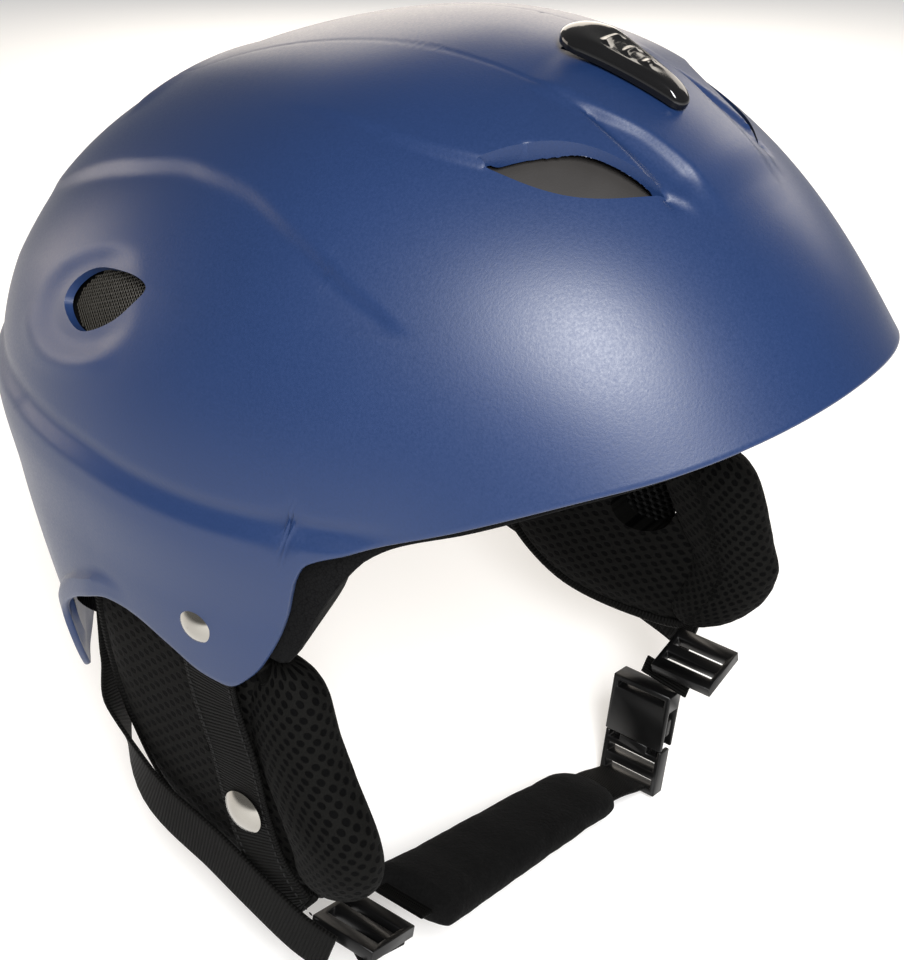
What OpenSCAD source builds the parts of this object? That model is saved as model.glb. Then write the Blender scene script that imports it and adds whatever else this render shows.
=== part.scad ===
// Ski helmet with a moulded shell, foam liner, sliding crown vents, soft ear pads and a chin strap.
// Millimetres, +Z up. The helmet faces -Y and the wearer's right is -X.
// The origin is inside the head cavity, on the middle plane, a little above the level of the ears.

/* [Shell] */
// Half the width of the shell at ear level
half_w = 110.5; // [106:0.5:115]
// Origin to the front of the dome, without the brim flare
front_l = 130; // [124:1:136]
// Origin to the back of the dome
rear_l = 166.5; // [158:0.5:172]
// Origin to the top of the dome
crown_h = 115; // [112:1:120]
// How much wider the back is than the front, as a share of the width
widen = 0.205; // [0.1:0.005:0.24]
// Height of the lower half of the ellipsoid, which sets how upright the side walls are
skirt_h = 223; // [180:1:300]
// Wall thickness of the shell
shell_t = 2.4; // [2:0.1:3]
// Flare of the front brim, as a share of the radius
brim_flare = 0.041; // [0:0.001:0.05]
// Flare of the nape edge, as a share of the radius
nape_flare = 0.05; // [0:0.001:0.06]

/* [Rim heights] */
// Rim height at the middle of the brow
brow_z = 47; // [42:1:50]
// Rim height at the temple, in front of the ear lobe
temple_z = 2; // [-1:0.5:4]
// Lowest point of the ear lobe
lobe_z = -49.5; // [-52:0.5:-47]
// Top of the notch behind the ear lobe
notch_z = -37.5; // [-40:0.5:-36]
// Rim height at the middle of the nape
nape_z = -102; // [-108:1:-96]

/* [Surface lines] */
// Height of the belt line over the ears
belt_z = 6.8; // [5:0.2:8]
// How far the shell stands proud below the belt line
belt_step = 2.1; // [0:0.1:2.4]
// Depth of the leaf-shaped hollow above each ear
leaf_depth = 2.2; // [0:0.1:2.8]
// Height of the raised crown between the front vents
crown_step = 1.8; // [0:0.1:2.2]

/* [Liner] */
// Half the width of the head cavity in the foam
cavity_w = 82; // [79:0.5:84]
// Half the length of the head cavity
cavity_l = 111; // [107:0.5:114]
// Height of the head cavity above the origin
cavity_h = 92; // [89:0.5:94]
// Thickness of the fabric comfort pads
comfort_t = 6; // [4:0.5:8]

/* [Vent slider] */
// Distance that the crown slider moves, along its arc
slider_travel = 12; // [8:0.5:12]
// Length of the slider knob
knob_l = 40; // [38:1:44]
// Width of the wide rear end of the knob
knob_w = 17; // [14:0.5:19]
// Height of the knob over the shell
knob_h = 5; // [4:0.25:6]

/* [Ear pads] */
// Thickness of the flat mesh panel
panel_t = 11; // [8:0.5:12]
// Width of the thick front roll, front to back
roll_w = 35; // [30:1:38]
// Thickness of the front roll, side to side
roll_t = 23; // [18:1:24]
// How much further forward the top of the left roll hangs than the right one
lead_top = 38; // [30:1:40]
// The same at the bottom of the rolls
lead_low = 18; // [14:1:20]
// How much lower the right pad hangs than the left one
pad_drop = 5; // [3:0.5:6]

/* [Straps and buckle] */
// Width of the webbing
web_w = 20; // [18:1:20]
// Thickness of the webbing
web_t = 1.4; // [1:0.1:1.6]
// Diameter of the rivet heads on the shell
rivet_d = 12; // [10:0.5:13]
// Diameter of the snap caps
snap_d = 15; // [13:0.5:16]
// Width of the chin pad sleeve
chin_w = 35; // [30:1:37]
// Outer width of the buckle
buckle_w = 25; // [24:0.5:28]
// Thickness of the buckle
buckle_t = 8.4; // [8:0.2:10]

/* [Hidden] */
$fn = 48;

BLUE = [0.16, 0.25, 0.5];
BLACK = [0.06, 0.06, 0.065];
FABRIC = [0.1, 0.1, 0.11];
CHROME = [0.75, 0.74, 0.72];

// Rim height against the angle from the front, in degrees
RIM = [[0, brow_z], [35, 32], [60, 15.5], [71, 7.5], [77.5, temple_z], [79.5, -5], [81, -16], [84, -30],
       [88, -42], [93, lobe_z], [97, lobe_z + 1], [103, -43], [109, -38.5], [114, notch_z], [120, -43],
       [126, -53], [130, -64], [133, -82], [137, nape_z + 5], [144, nape_z - 1], [160, nape_z - 2], [180, nape_z]];
// The liner's rim: lower than the shell's at the brow and temple, shorter where pad and webbing tuck in
LINER_RIM = [[0, brow_z - 3], [35, 28.5], [55, 15], [65, 8.5], [70, 2.5], [73, -4], [76, -12.5], [79, -22.5],
             [82, -35], [85, -41.5], [89, -39], [93, -35], [98, -32], [127, -30], [136, -46], [144, -72],
             [152, nape_z + 10], [164, nape_z + 4], [180, nape_z + 4]];
// Height of the belt line against angle
BELT = [[62, belt_z + 3], [78, belt_z + 1.2], [94, belt_z], [105, belt_z + 0.6], [118, belt_z + 2.2],
        [131, belt_z + 2.2], [150, belt_z]];
// Upper and lower edge of the leaf hollow: elevation against angle, in degrees
LEAF_TOP = [[60, 35.2], [72, 40], [88, 46], [104, 48.8], [119, 47], [137, 38.5], [158, 22], [165, 18]];
LEAF_LOW = [[60, 35], [73, 34.7], [96, 32.3], [111, 30.5], [125, 27], [140, 20], [158, 10], [165, 6]];
// Half width and height of the raised crown against y
CROWN_EDGE = [[-84, 20], [-72, 24.5], [-60, 28.5], [-50, 33], [-41, 40.5], [-36, 48], [-10, 53.5], [36, 54]];
CROWN_RISE = [[-86, 0], [-73, 0.9], [-36, 1], [-10, 0.45], [36, 0]];
// Inner and outer side of the hollow between a front vent and the middle: x against y
SCOOP_IN = [[-77, 14.3], [-64, 15.3], [-51, 19], [-42, 21.5]];
SCOOP_OUT = [[-77, 24], [-70, 23], [-59, 22], [-42, 21]];

FLARE_WIDTH = 9;          // degrees over which the brim and nape flares fade
VENT_A = [48.2, -35];     // plan of the outer rear corner of a front vent
VENT_B = [23.2, -74.5];     // plan of the inner front corner
VENT_BULGE = 5.7;         // how far each side of the vent bows out
REAR_VENT = [120, 24.7];  // angle and elevation of the rear side vent
REAR_VENT_TURN = 36;      // its long axis rises forward by this much
LINER_GAP = 6;            // from the shell's outer face to the liner
RIVET_AT = [97.4, -15];   // angle and elevation of the rivet on the ear lobe
PIVOT = [-71, -23, -148]; // where the chin strap turns in the right adjuster
BUCKLE_R = 144.3;         // from that pivot to the buckle's mouth
BUCKLE_TILT = 10.2;       // lean of the buckle, so that it leaves along the strap's arc
SLIDE_AXIS = [-1, -24];   // y and z of the centre of the crown's arc
HINGE_Z = -46;            // height of the ear pads' fold line

// ---------- curves ----------
function soft(x) = x <= 0 ? 0 : x >= 1 ? 1 : x * x * (3 - 2 * x);
function unit(v) = v / norm(v);
function rise(k, i) = (k[i + 1][1] - k[i][1]) / (k[i + 1][0] - k[i][0]);
function slope(k, i) = i == 0 || i == len(k) - 1 || rise(k, i - 1) * rise(k, i) <= 0 ? 0
    : 2 * rise(k, i - 1) * rise(k, i) / (rise(k, i - 1) + rise(k, i));
function span(k, x, i = 0) = i >= len(k) - 2 || x < k[i + 1][0] ? i : span(k, x, i + 1);
// Smooth curve through keys of [x, value], flat at both ends and beyond them
function keyed(k, x) = x <= k[0][0] ? k[0][1] : x >= k[len(k) - 1][0] ? k[len(k) - 1][1]
    : let (i = span(k, x), h = k[i + 1][0] - k[i][0], t = (x - k[i][0]) / h)
      (2 * pow(t, 3) - 3 * t * t + 1) * k[i][1] + (pow(t, 3) - 2 * t * t + t) * h * slope(k, i)
      + (3 * t * t - 2 * pow(t, 3)) * k[i + 1][1] + (pow(t, 3) - t * t) * h * slope(k, i + 1);
// Catmull-Rom curve through points, with n steps between two points
function spline(p, n) = [for (i = [0:len(p) - 2], s = [0:n - 1])
    let (a = p[max(i - 1, 0)], b = p[i], c = p[i + 1], d = p[min(i + 2, len(p) - 1)], t = s / n)
    0.5 * (2 * b + (c - a) * t + (2 * a - 5 * b + 4 * c - d) * t * t + (3 * b - a - 3 * c + d) * t * t * t),
    p[len(p) - 1]];
function closed_spline(p, n) = let (m = len(p)) [for (i = [0:m - 1], s = [0:n - 1])
    let (a = p[(i + m - 1) % m], b = p[i], c = p[(i + 1) % m], d = p[(i + 2) % m], t = s / n)
    0.5 * (2 * b + (c - a) * t + (2 * a - 5 * b + 4 * c - d) * t * t + (3 * b - a - 3 * c + d) * t * t * t)];

// ---------- the dome, in angle a from the front and elevation e ----------
function away(a) = abs(a > 180 ? a - 360 : a);
function at(a, e, r) = [r * sin(a) * cos(e), -r * cos(a) * cos(e), r * sin(e)];
function dome_r(a, e) =
    let (w = half_w * (1 - widen * cos(a)), l = (front_l + rear_l) / 2 - (rear_l - front_l) / 2 * cos(a),
         h = e < 0 ? skirt_h : crown_h,
         r = 1 / sqrt(pow(sin(a) * cos(e) / w, 2) + pow(cos(a) * cos(e) / l, 2) + pow(sin(e) / h, 2)))
    r * (1 + 0.048 * cos(a) * cos(e) * abs(sin(e)) - 0.06 * cos(2 * a) * pow(cos(e) * sin(e), 2));
function flare(a, d) =
    let (b = away(a), f = b < 72 ? brim_flare * cos(b * 1.25) * soft((72 - b) / 16) : 0,
         n = b > 116 ? nape_flare * cos((180 - b) * 1.4) : 0)
    1 + (f + n) * exp(-max(d, 0) / FLARE_WIDTH);
// Elevation of the rim whose height is z, found by repeated correction
function rim_e(a, z, n = 8) = n == 0 ? asin(z / 120)
    : let (e = rim_e(a, z, n - 1)) asin(z / (dome_r(a, e) * flare(a, 0)));
function shell_rim(a) = rim_e(a, keyed(RIM, away(a)));
function liner_rim(a) = rim_e(a, keyed(LINER_RIM, away(a)));

// ---------- relief on the dome, in mm outwards ----------
function belt_relief(b, z) = let (h = z - keyed(BELT, b)) soft((b - 62) / 14)
    * (belt_step * soft((3.5 - h) / 5) * (1 - 0.7 * soft(-(h + 6) / 26)) - 0.7 * exp(-pow((h - 5) / 2, 2)));
function leaf_relief(b, e) = let (t = keyed(LEAF_TOP, b), l = keyed(LEAF_LOW, b))
    -leaf_depth * soft((b - 60) / 10) * soft((165 - b) / 15) * soft((t - e) / 3) * max(0, 1 - (t - e) / (t - l));
function vent_uv(b, e) = let (u = (REAR_VENT[0] - b) * 1.97, v = (e - REAR_VENT[1]) * 2.13, t = REAR_VENT_TURN)
    [u * cos(t) + v * sin(t), v * cos(t) - u * sin(t)];
function rear_vent_relief(b, e) = let (p = vent_uv(b, e), q = norm([(p[0] + 3) / 23, p[1] / 12]))
    -1.8 * soft((1.35 - q) / 0.5) * soft((20 - p[0]) / 22)
    + 0.5 * exp(-pow((q - 1.42) / 0.2, 2)) * soft((4 - p[1]) / 8) * soft((10 - p[0]) / 16);
function crown_relief(x, y) = crown_step * keyed(CROWN_RISE, y) * soft((keyed(CROWN_EDGE, y) + 1 - x) / 2.5)
    + 1.2 * soft((y + 92) / 16) * soft((-28 - y) / 12) * soft((19 - 0.16 * (-36 - y) + 6 - x) / 6)
    - 1.4 * soft((x - keyed(SCOOP_IN, y) + 1.2) / 2.4) * soft((keyed(SCOOP_OUT, y) + 1.2 - x) / 2.4)
    * soft((y + 80) / 6);
function notch_relief(b, d, r) = 2.2 * soft((b - 110) / 9) * soft((150 - b) / 8) * soft((9 - d * r * PI / 180) / 2.5);
function hood_relief(x, y, z) = z < 60 ? 0 : 1.2 * exp(-pow((y - 100) / 5, 2)) * soft((45 - x) / 12);
function relief(a, e, d, r) = let (b = away(a), p = at(b, e, r), x = abs(p[0]), y = p[1], z = p[2])
    belt_relief(b, z) + leaf_relief(b, e) + rear_vent_relief(b, e) + crown_relief(x, y)
    + notch_relief(b, d, r) + hood_relief(x, y, z);
function shell_r(a, e, rim) = let (r = dome_r(a, e) * flare(a, e - rim)) r + relief(a, e, e - rim, r);
function shell_point(a, e) = at(a, e, shell_r(a, e, shell_rim(a)));
function liner_r(a, e) = dome_r(a, e) - LINER_GAP;
// Distance from the origin to the wall of the head cavity
function cavity_r(a, e) =
    let (d = at(a, e, 1), h = e < 0 ? 200 : cavity_h, y0 = 17,
         q = pow(d[0] / cavity_w, 2) + pow(d[1] / cavity_l, 2) + pow(d[2] / h, 2),
         b = d[1] * y0 / pow(cavity_l, 2), c = 1 - pow(y0 / cavity_l, 2))
    (b + sqrt(b * b + q * c)) / q;

// ---------- closed solids from grids ----------
function ring_faces(n, from, to, flip) = [for (i = [0:n - 1])
    let (a = from + i, b = from + (i + 1) % n, c = to + (i + 1) % n, d = to + i)
    each flip ? [[a, d, c], [a, c, b]] : [[a, b, c], [a, c, d]]];
function fan_faces(n, from, tip, flip) = [for (i = [0:n - 1])
    flip ? [from + i, tip, from + (i + 1) % n] : [from + i, from + (i + 1) % n, tip]];

// A dome between two radius functions, open at the rim, with m columns and n rows
module dome(m, n, rim, outer, inner) {
    cols = [for (i = [0:m - 1]) let (a = i * 360 / m) [a, rim(a)]];
    grid = [for (j = [0:n - 1], c = cols) [c[0], c[1] + (90 - c[1]) * j / n, c[1]]];
    points = concat([for (g = grid) at(g[0], g[1], outer(g[0], g[1], g[2]))], [at(0, 90, outer(0, 90, 0))],
                    [for (g = grid) at(g[0], g[1], inner(g[0], g[1], g[2]))], [at(0, 90, inner(0, 90, 0))]);
    side = m * n + 1;
    polyhedron(points, concat(
        [for (j = [0:n - 2]) each ring_faces(m, j * m, (j + 1) * m, true)],
        fan_faces(m, (n - 1) * m, m * n, true),
        [for (j = [0:n - 2]) each ring_faces(m, side + j * m, side + (j + 1) * m, false)],
        fan_faces(m, side + (n - 1) * m, side + m * n, false),
        ring_faces(m, 0, side, false)));
}

// A curved plate between two radius functions over angles a0 to a1 and elevations low(a) to high(a)
module plate(a0, a1, m, n, low, high, outer, inner) {
    g = [for (k = [0, 1], i = [0:m], j = [0:n])
        let (a = a0 + (a1 - a0) * i / m, e = low(a) + (high(a) - low(a)) * j / n)
        at(a, e, k == 0 ? outer(a, e) : inner(a, e))];
    w = n + 1;
    s = (m + 1) * w;
    polyhedron(g, concat(
        [for (i = [0:m - 1], j = [0:n - 1]) let (q = i * w + j)
            each [[q, q + 1, q + w + 1], [q, q + w + 1, q + w],
                  [s + q, s + q + w + 1, s + q + 1], [s + q, s + q + w, s + q + w + 1]]],
        [for (i = [0:m - 1]) let (q = i * w, t = i * w + n)
            each [[q, q + w, s + q + w], [q, s + q + w, s + q], [t, s + t + w, t + w], [t, s + t, s + t + w]]],
        [for (j = [0:n - 1]) let (q = j, t = m * w + j)
            each [[q, s + q, s + q + 1], [q, s + q + 1, q + 1], [t, s + t + 1, s + t], [t, t + 1, s + t + 1]]]));
}

// A stack of rings that closes at both ends
function mean(r) = [for (k = [0:2]) [for (p = r) p[k]] * [for (p = r) 1] / len(r)];
module loft(rings) {
    n = len(rings[0]);
    last = (len(rings) - 1) * n;
    points = concat([for (r = rings) each r], [mean(rings[0]), mean(rings[len(rings) - 1])]);
    polyhedron(points, concat(
        [for (j = [0:len(rings) - 2]) each ring_faces(n, j * n, (j + 1) * n, false)],
        fan_faces(n, 0, len(points) - 2, true), fan_faces(n, last, len(points) - 1, false)));
}

// A flat strap along points of [x, y, z, and the direction that its face looks in]
function xyz(p) = [p[0], p[1], p[2]];
function strap_ring(k, i, width, thick) =
    let (p = xyz(k[i]), t = unit(xyz(k[min(i + 1, len(k) - 1)]) - xyz(k[max(i - 1, 0)])),
         w = unit(cross(t, [k[i][3], k[i][4], k[i][5]])), h = cross(w, t))
    [for (q = [[-1, -1], [1, -1], [1, 1], [-1, 1]]) p + w * q[0] * width / 2 + h * q[1] * thick / 2];
module strap(path, width, thick, steps = 4) {
    k = spline(path, steps);
    loft([for (i = [0:len(k) - 1]) strap_ring(k, i, width, thick)]);
}

// A cushion over an outline of [y, z] points; mid(z) is the side position of its middle
module cushion(outline, mid, thick) {
    c = [for (k = [0, 1]) (max([for (p = outline) p[k]]) + min([for (p = outline) p[k]])) / 2];
    layers = [[0.35, -1], [0.8, -0.93], [0.95, -0.6], [1, 0], [0.95, 0.6], [0.8, 0.93], [0.35, 1]];
    loft([for (l = layers) [for (p = outline)
        let (y = c[0] + (p[0] - c[0]) * l[0], z = c[1] + (p[1] - c[1]) * l[0]) [mid(z) + l[1] * thick / 2, y, z]]]);
}

module both_sides(side) {
    mirror([side == "left" ? 1 : 0, 0, 0]) children();
}

// ---------- shell and liner ----------
// The front vent in plan: a lens between two points; grow widens it
function lens(grow) = let (d = VENT_B - VENT_A, m = unit([-d[1], d[0]]), n = 8)
    [for (i = [0:2 * n - 1]) let (s = i < n ? i / n : 2 - i / n, q = i < n ? 1 : -1)
        VENT_A + d * s + m * q * (VENT_BULGE + grow) * sin(180 * s)];
module front_vent_cut(grow, low, high) {
    for (s = [-1, 1]) translate([0, 0, low]) linear_extrude(high - low)
        polygon([for (p = lens(grow)) [s * p[0], p[1]]]);
}
// The rear side vent: a rounded teardrop that lies along [u, v] on the shell
REAR_VENT_EDGE = closed_spline([[-18.5, 1], [-14.5, 7], [-3, 9.5], [13, 5], [20.5, -0.5], [13.5, -4.5],
                                [3, -7], [-10.5, -7]], 3);
function vent_ray(u, v, r) = let (t = REAR_VENT_TURN, x = u * cos(t) - v * sin(t), y = u * sin(t) + v * cos(t))
    at(REAR_VENT[0] - x / 1.97, REAR_VENT[1] + y / 2.13, r);
module rear_vent_cut(scale, low, high) {
    for (s = [0, 1]) mirror([s, 0, 0])
        loft([for (r = [high, low]) [for (p = REAR_VENT_EDGE) vent_ray(p[0] * scale, p[1] * scale, r)]]);
}
KNOB_Y = -45;
ARC_TURN = atan((SLIDE_AXIS[0] - KNOB_Y) / 133);
KNOB_R = norm([shell_point(0, 67)[1] - SLIDE_AXIS[0], shell_point(0, 67)[2] - SLIDE_AXIS[1]]);
STEM_L = 12;
STEM_W = 7.6;
RIVET = shell_point(RIVET_AT[0], RIVET_AT[1]);
FACE_X = RIVET[0] - 0.7;   // flat face under a rivet head, on the left side
module rivet_axis(side) {
    both_sides(side == "left" ? "right" : "left") translate([0, RIVET[1], RIVET[2]]) rotate([0, 90, 0]) children();
}
module slider_frame() {
    translate([0, SLIDE_AXIS[0], SLIDE_AXIS[1]]) rotate([ARC_TURN, 0, 0]) children();
}

module outer_shell() {
    color(BLUE) difference() {
        dome(72, 18, function(a) shell_rim(a), function(a, e, rim) shell_r(a, e, rim),
             function(a, e, rim) shell_r(a, e, rim) - shell_t * 1.03);
        front_vent_cut(0, 70, 130);
        rear_vent_cut(1, 80, 150);
        slider_frame() translate([-STEM_W / 2 - 0.4, -STEM_L / 2 - 0.5, KNOB_R - 12])
            cube([STEM_W + 0.8, STEM_L + slider_travel + 1, 24]);
        for (side = ["right", "left"]) rivet_axis(side) {
            translate([0, 0, 90]) cylinder(r = 2.5, h = 40);
            translate([0, 0, FACE_X]) cylinder(r = rivet_d / 2 + 0.4, h = 10);
        }
    }
}

module eps_liner() {
    color(BLACK) difference() {
        dome(60, 14, function(a) liner_rim(a), function(a, e, rim) liner_r(a, e),
             function(a, e, rim) cavity_r(a, e));
        front_vent_cut(0.5, 40, 130);
        rear_vent_cut(0.85, 60, 150);
        plate(-88, 88, 22, 4, function(a) 45, function(a) 85, function(a, e) dome_r(a, e) + 2,
              function(a, e) dome_r(a, e) - 13);
        for (s = [0, 1]) mirror([s, 0, 0]) plate(101, 139, 8, 4, function(a) 10, function(a) 40,
            function(a, e) dome_r(a, e), function(a, e) dome_r(a, e) - 7.6);
        for (side = ["right", "left"]) rivet_axis(side) translate([0, 0, FACE_X - 11]) cylinder(r = 8.5, h = 14);
    }
}

// ---------- comfort pads on the cavity wall ----------
module comfort(a0, a1, m, n, low, high) {
    plate(a0, a1, m, n, low, high, function(a, e) cavity_r(a, e) - 0.8, function(a, e) cavity_r(a, e) - comfort_t);
}
module crown_pad() {
    color(FABRIC) dome(28, 4, function(a) 58, function(a, e, rim) cavity_r(a, e) - 0.8,
                       function(a, e, rim) cavity_r(a, e) - comfort_t);
}
module brow_pad() {
    color(FABRIC) comfort(-50, 50, 16, 3, function(a) liner_rim(a) + 1.5, function(a) liner_rim(a) + 17);
}
module temple_pad(side) {
    color(FABRIC) both_sides(side == "left" ? "right" : "left")
        comfort(56, 116, 10, 5, function(a) max(liner_rim(a) + 2, -14), function(a) 30);
}
module nape_pad() {
    color(FABRIC) comfort(126, 234, 16, 5, function(a) max(liner_rim(a) + 4, -24), function(a) 12);
}

// ---------- rear side vents ----------
module rear_vent_mesh(side) {
    color(BLACK) both_sides(side == "left" ? "right" : "left") plate(102, 138, 8, 4, function(a) 11, function(a) 39,
        function(a, e) dome_r(a, e) - 6.3, function(a, e) dome_r(a, e) - 7.3);
}

// ---------- crown vent slider ----------
module vent_knob() {
    color(BLACK) slider_frame() difference() {
        union() {
            difference() {
                intersection() {
                    translate([0, 0, KNOB_R - 4]) linear_extrude(20) hull() {
                        translate([0, knob_l / 2 - knob_w / 2]) circle(knob_w / 2);
                        translate([0, 3.5 - knob_l / 2]) circle(3.5);
                    }
                    rotate([0, 90, 0]) cylinder(r = KNOB_R + knob_h, h = 30, center = true, $fn = 120);
                }
                rotate([0, 90, 0]) cylinder(r = KNOB_R + 0.6, h = 40, center = true, $fn = 120);
            }
            translate([-STEM_W / 2, -STEM_L / 2, KNOB_R - 8.4]) cube([STEM_W, STEM_L, 10.2]);
        }
        for (y = [-3, 3]) translate([0, y, KNOB_R - 10]) cylinder(r = 1.25, h = 8);
    }
}
module knob_screws() {
    color(CHROME) slider_frame() for (y = [-3, 3]) translate([0, y, KNOB_R - 12.2]) {
        cylinder(r = 1.2, h = 9);
        cylinder(r = 2.4, h = 1.4);
    }
}
function shutter_line(a) = keyed([[12, 50], [19, 51.5], [27, 54.3], [35, 56.6], [45, 58.2], [62, 59.5]], away(a));
module vent_carriage() {
    color(BLACK) difference() {
        plate(-26, 26, 8, 4, function(a) 54, function(a) 74, function(a, e) dome_r(a, e) - 5.9,
              function(a, e) dome_r(a, e) - 7.5);
        slider_frame() for (y = [-3, 3]) translate([0, y, KNOB_R - 20]) cylinder(r = 1.4, h = 20);
    }
}
module shutter(side) {
    color([0.2, 0.18, 0.17]) both_sides(side == "left" ? "right" : "left") plate(13, 62, 12, 4,
        function(a) shutter_line(a) - 5.5, function(a) shutter_line(a) + 6,
        function(a, e) dome_r(a, e) - 4.2, function(a, e) dome_r(a, e) - 5.8);
}

// ---------- rivets ----------
module shell_rivet(side) {
    color(CHROME) rivet_axis(side) {
        translate([0, 0, FACE_X]) intersection() {
            cylinder(r = rivet_d / 2, h = 3);
            translate([0, 0, 2.4 - 8.7]) sphere(r = 8.7);
        }
        translate([0, 0, FACE_X - 7]) cylinder(r = 2.45, h = 7.2);
        translate([0, 0, FACE_X - 8.2]) cylinder(r = 4, h = 1.2);
    }
}
module rivet_washer(side) {
    color(CHROME) rivet_axis(side) translate([0, 0, FACE_X - 7]) difference() {
        cylinder(r = 6.5, h = 1);
        translate([0, 0, -1]) cylinder(r = 2.5, h = 3);
    }
}

// ---------- ear pads; each is drawn on the left (+X) and mirrored for the right ----------
// The left pad is stretched forward, most of all at its roll; the right pad hangs a little lower
function lead(y, z) = (lead_low + (lead_top - lead_low) * soft((z + 125) / 60))
    * (1 - 0.8 * min(1, max(0, (y + 5) / 75)));
function hang(y, z, side) = side == "left" ? y - lead(y, z) : y;
function sag(z, side) = side == "left" ? z : z - pad_drop * min(1, max(0, (HINGE_Z - z) / 85));
function pad_face(z) = 105.2 + 0.06 * z;      // side position of the pads' outer face
PANEL = closed_spline([[4, -50], [14, -43.5], [34, -41], [58, -41], [71.5, -49], [73, -63], [71, -84], [66, -101],
                       [56, -119], [36, -132], [8, -133], [-12, -127], [-14, -108], [-6, -85]], 2);
WINDOW = [16, -81];       // centre of the thin window over the ear, [y, z]
SNAP = [11, -105];        // centre of the snap, [y, z]
module ear_side(side) {
    mirror([side == "left" ? 0 : 1, 0, 0]) children();
}
module along_x(y, z) {
    translate([0, y, z]) rotate([0, 90, 0]) children();
}
module window_prism(r, low, high, side) {
    along_x(hang(WINDOW[0], WINDOW[1], side), WINDOW[1]) translate([0, 0, low]) linear_extrude(high - low)
        hull() for (z = [-4, 4]) translate([z, 0]) circle(r, $fn = 32);
}
module ear_panel(side) {
    color(FABRIC) difference() {
        ear_side(side) difference() {
            cushion([for (p = PANEL) [hang(p[0], p[1], side), sag(p[1], side)]],
                    function(z) pad_face(z) - panel_t / 2, panel_t);
            window_prism(9.5, 70, 120, side);
            along_x(hang(SNAP[0], SNAP[1], side), SNAP[1]) translate([0, 0, SNAP_X - 1.2]) cylinder(r = 5.3, h = 9);
        }
        ear_roll_body(side, 0.15);
    }
}
module ear_window(side) {
    x = pad_face(WINDOW[1]) - 2.5;
    color(BLACK) difference() {
        ear_side(side) window_prism(9.3, x - 0.5, x + 0.5, side);
        ear_roll_body(side, 0.15);
    }
}
function round_end(d, r) = d >= r ? 1 : sqrt(1 - pow(1 - max(d, 0) / r, 2));
// The thick front roll: y of its middle, half its width and the side position of its middle, against z
ROLL_Y = [[-129, -12], [-120, -16], [-108, -19.5], [-97, -17.5], [-85, -9.5], [-70, -1.5], [-46, 4]];
ROLL_HALF = [[-129, 12], [-112, 16.5], [-96, roll_w / 2], [-60, roll_w / 2 - 1], [-46, 15]];
ROLL_X = [[-129, -6.5], [-112, -5], [-98, -4.5], [-84, -7], [-70, -9], [-55, -11]];
module ear_roll_body(side, grow) {
    low = -129;
    high = HINGE_Z - 1.5;
    n = 12;
    ear_side(side) loft([for (i = [0:n])
        let (z = low + (high - low) * (0.5 - 0.5 * cos(178 * i / n + 1)), k = round_end(min(z - low, high - z), 12),
             w = keyed(ROLL_HALF, z) * k + grow, t = keyed(ROLL_HALF, z) * k * roll_t / roll_w + grow,
             x = pad_face(z) + keyed(ROLL_X, z))
        [for (q = [0:360 / 20:359]) [x + t * cos(q), hang(keyed(ROLL_Y, z), z, side) - w * sin(q), sag(z, side)]]]);
}
module ear_roll(side) {
    color(FABRIC) ear_roll_body(side, 0);
}

// ---------- snaps ----------
SNAP_X = pad_face(SNAP[1]);
module snap_stud(side) {
    color(CHROME) ear_side(side) along_x(hang(SNAP[0], SNAP[1], side), SNAP[1]) {
        translate([0, 0, SNAP_X - 1]) cylinder(r = 5, h = 1.2);
        translate([0, 0, SNAP_X]) cylinder(r = 2.3, h = 1.5);
    }
}
module snap_cap(side) {
    color(CHROME) ear_side(side) along_x(hang(SNAP[0], SNAP[1], side), SNAP[1]) {
        translate([0, 0, SNAP_X + 4.3]) intersection() {
            cylinder(r = snap_d / 2, h = 3);
            translate([0, 0, 2.6 - 12]) sphere(r = 12);
        }
        translate([0, 0, SNAP_X + 0.6]) difference() {
            cylinder(r = 4, h = 3.7);
            translate([0, 0, -1]) cylinder(r = 2.9, h = 3.2);
        }
    }
}

// ---------- webbing; each point is [x, y, z, and the way its face looks] ----------
WALL_X = FACE_X - 3.95;    // middle of the webbing in the gap behind the shell
function front_path(side) = let (l = side == "left", s = SNAP_X + 2.4, n = hang(SNAP[0], SNAP[1], side)) [
    [WALL_X, RIVET[1], RIVET[2] + 9, 1, -0.07, 0], [WALL_X, RIVET[1], RIVET[2], 1, -0.07, 0],
    [WALL_X - 0.6, l ? 12 : 16, -42, 1, -0.05, 0], [104.5, l ? 7 : 17.5, -62, 1, 0, 0],
    [103.4, l ? 0 : 12.5, -84, 1, 0, 0], [s, n, SNAP[1], 1, 0, 0],
    [101, l ? -12 : 5, l ? -122 : -123, 1, 0, 0], [99, l ? -18 : -3, l ? -132 : -136, 1, 0, 0],
    [97, l ? -23 : -7, l ? -135 : -139.5, 1, 0, 0]];
function rear_path(side) = let (l = side == "left", s = at(141, -27, liner_r(141, -27) + 2.2)) [
    [s[0], s[1], s[2], 0.7, 0.7, 0], [86.2, 85.4, -68.5, 0.5, 0.87, 0], [87.5, 78.5, -84, 0.1, 1, 0],
    [93.5, l ? 73.5 : 76, -102, 0.45, 0.9, 0], [101.2, l ? 53 : 56, l ? -119 : -121, 1, 0.2, 0],
    [102.3, l ? 22 : 26, l ? -127 : -131, 1, 0, 0], [103, l ? 2 : 6, l ? -134 : -138, 1, 0, 0],
    [102.6, l ? -16 : -9, l ? -139 : -144, 1, 0, 0], [100.6, l ? -27 : -20, l ? -142 : -148, 1, 0, 0]];
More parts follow.
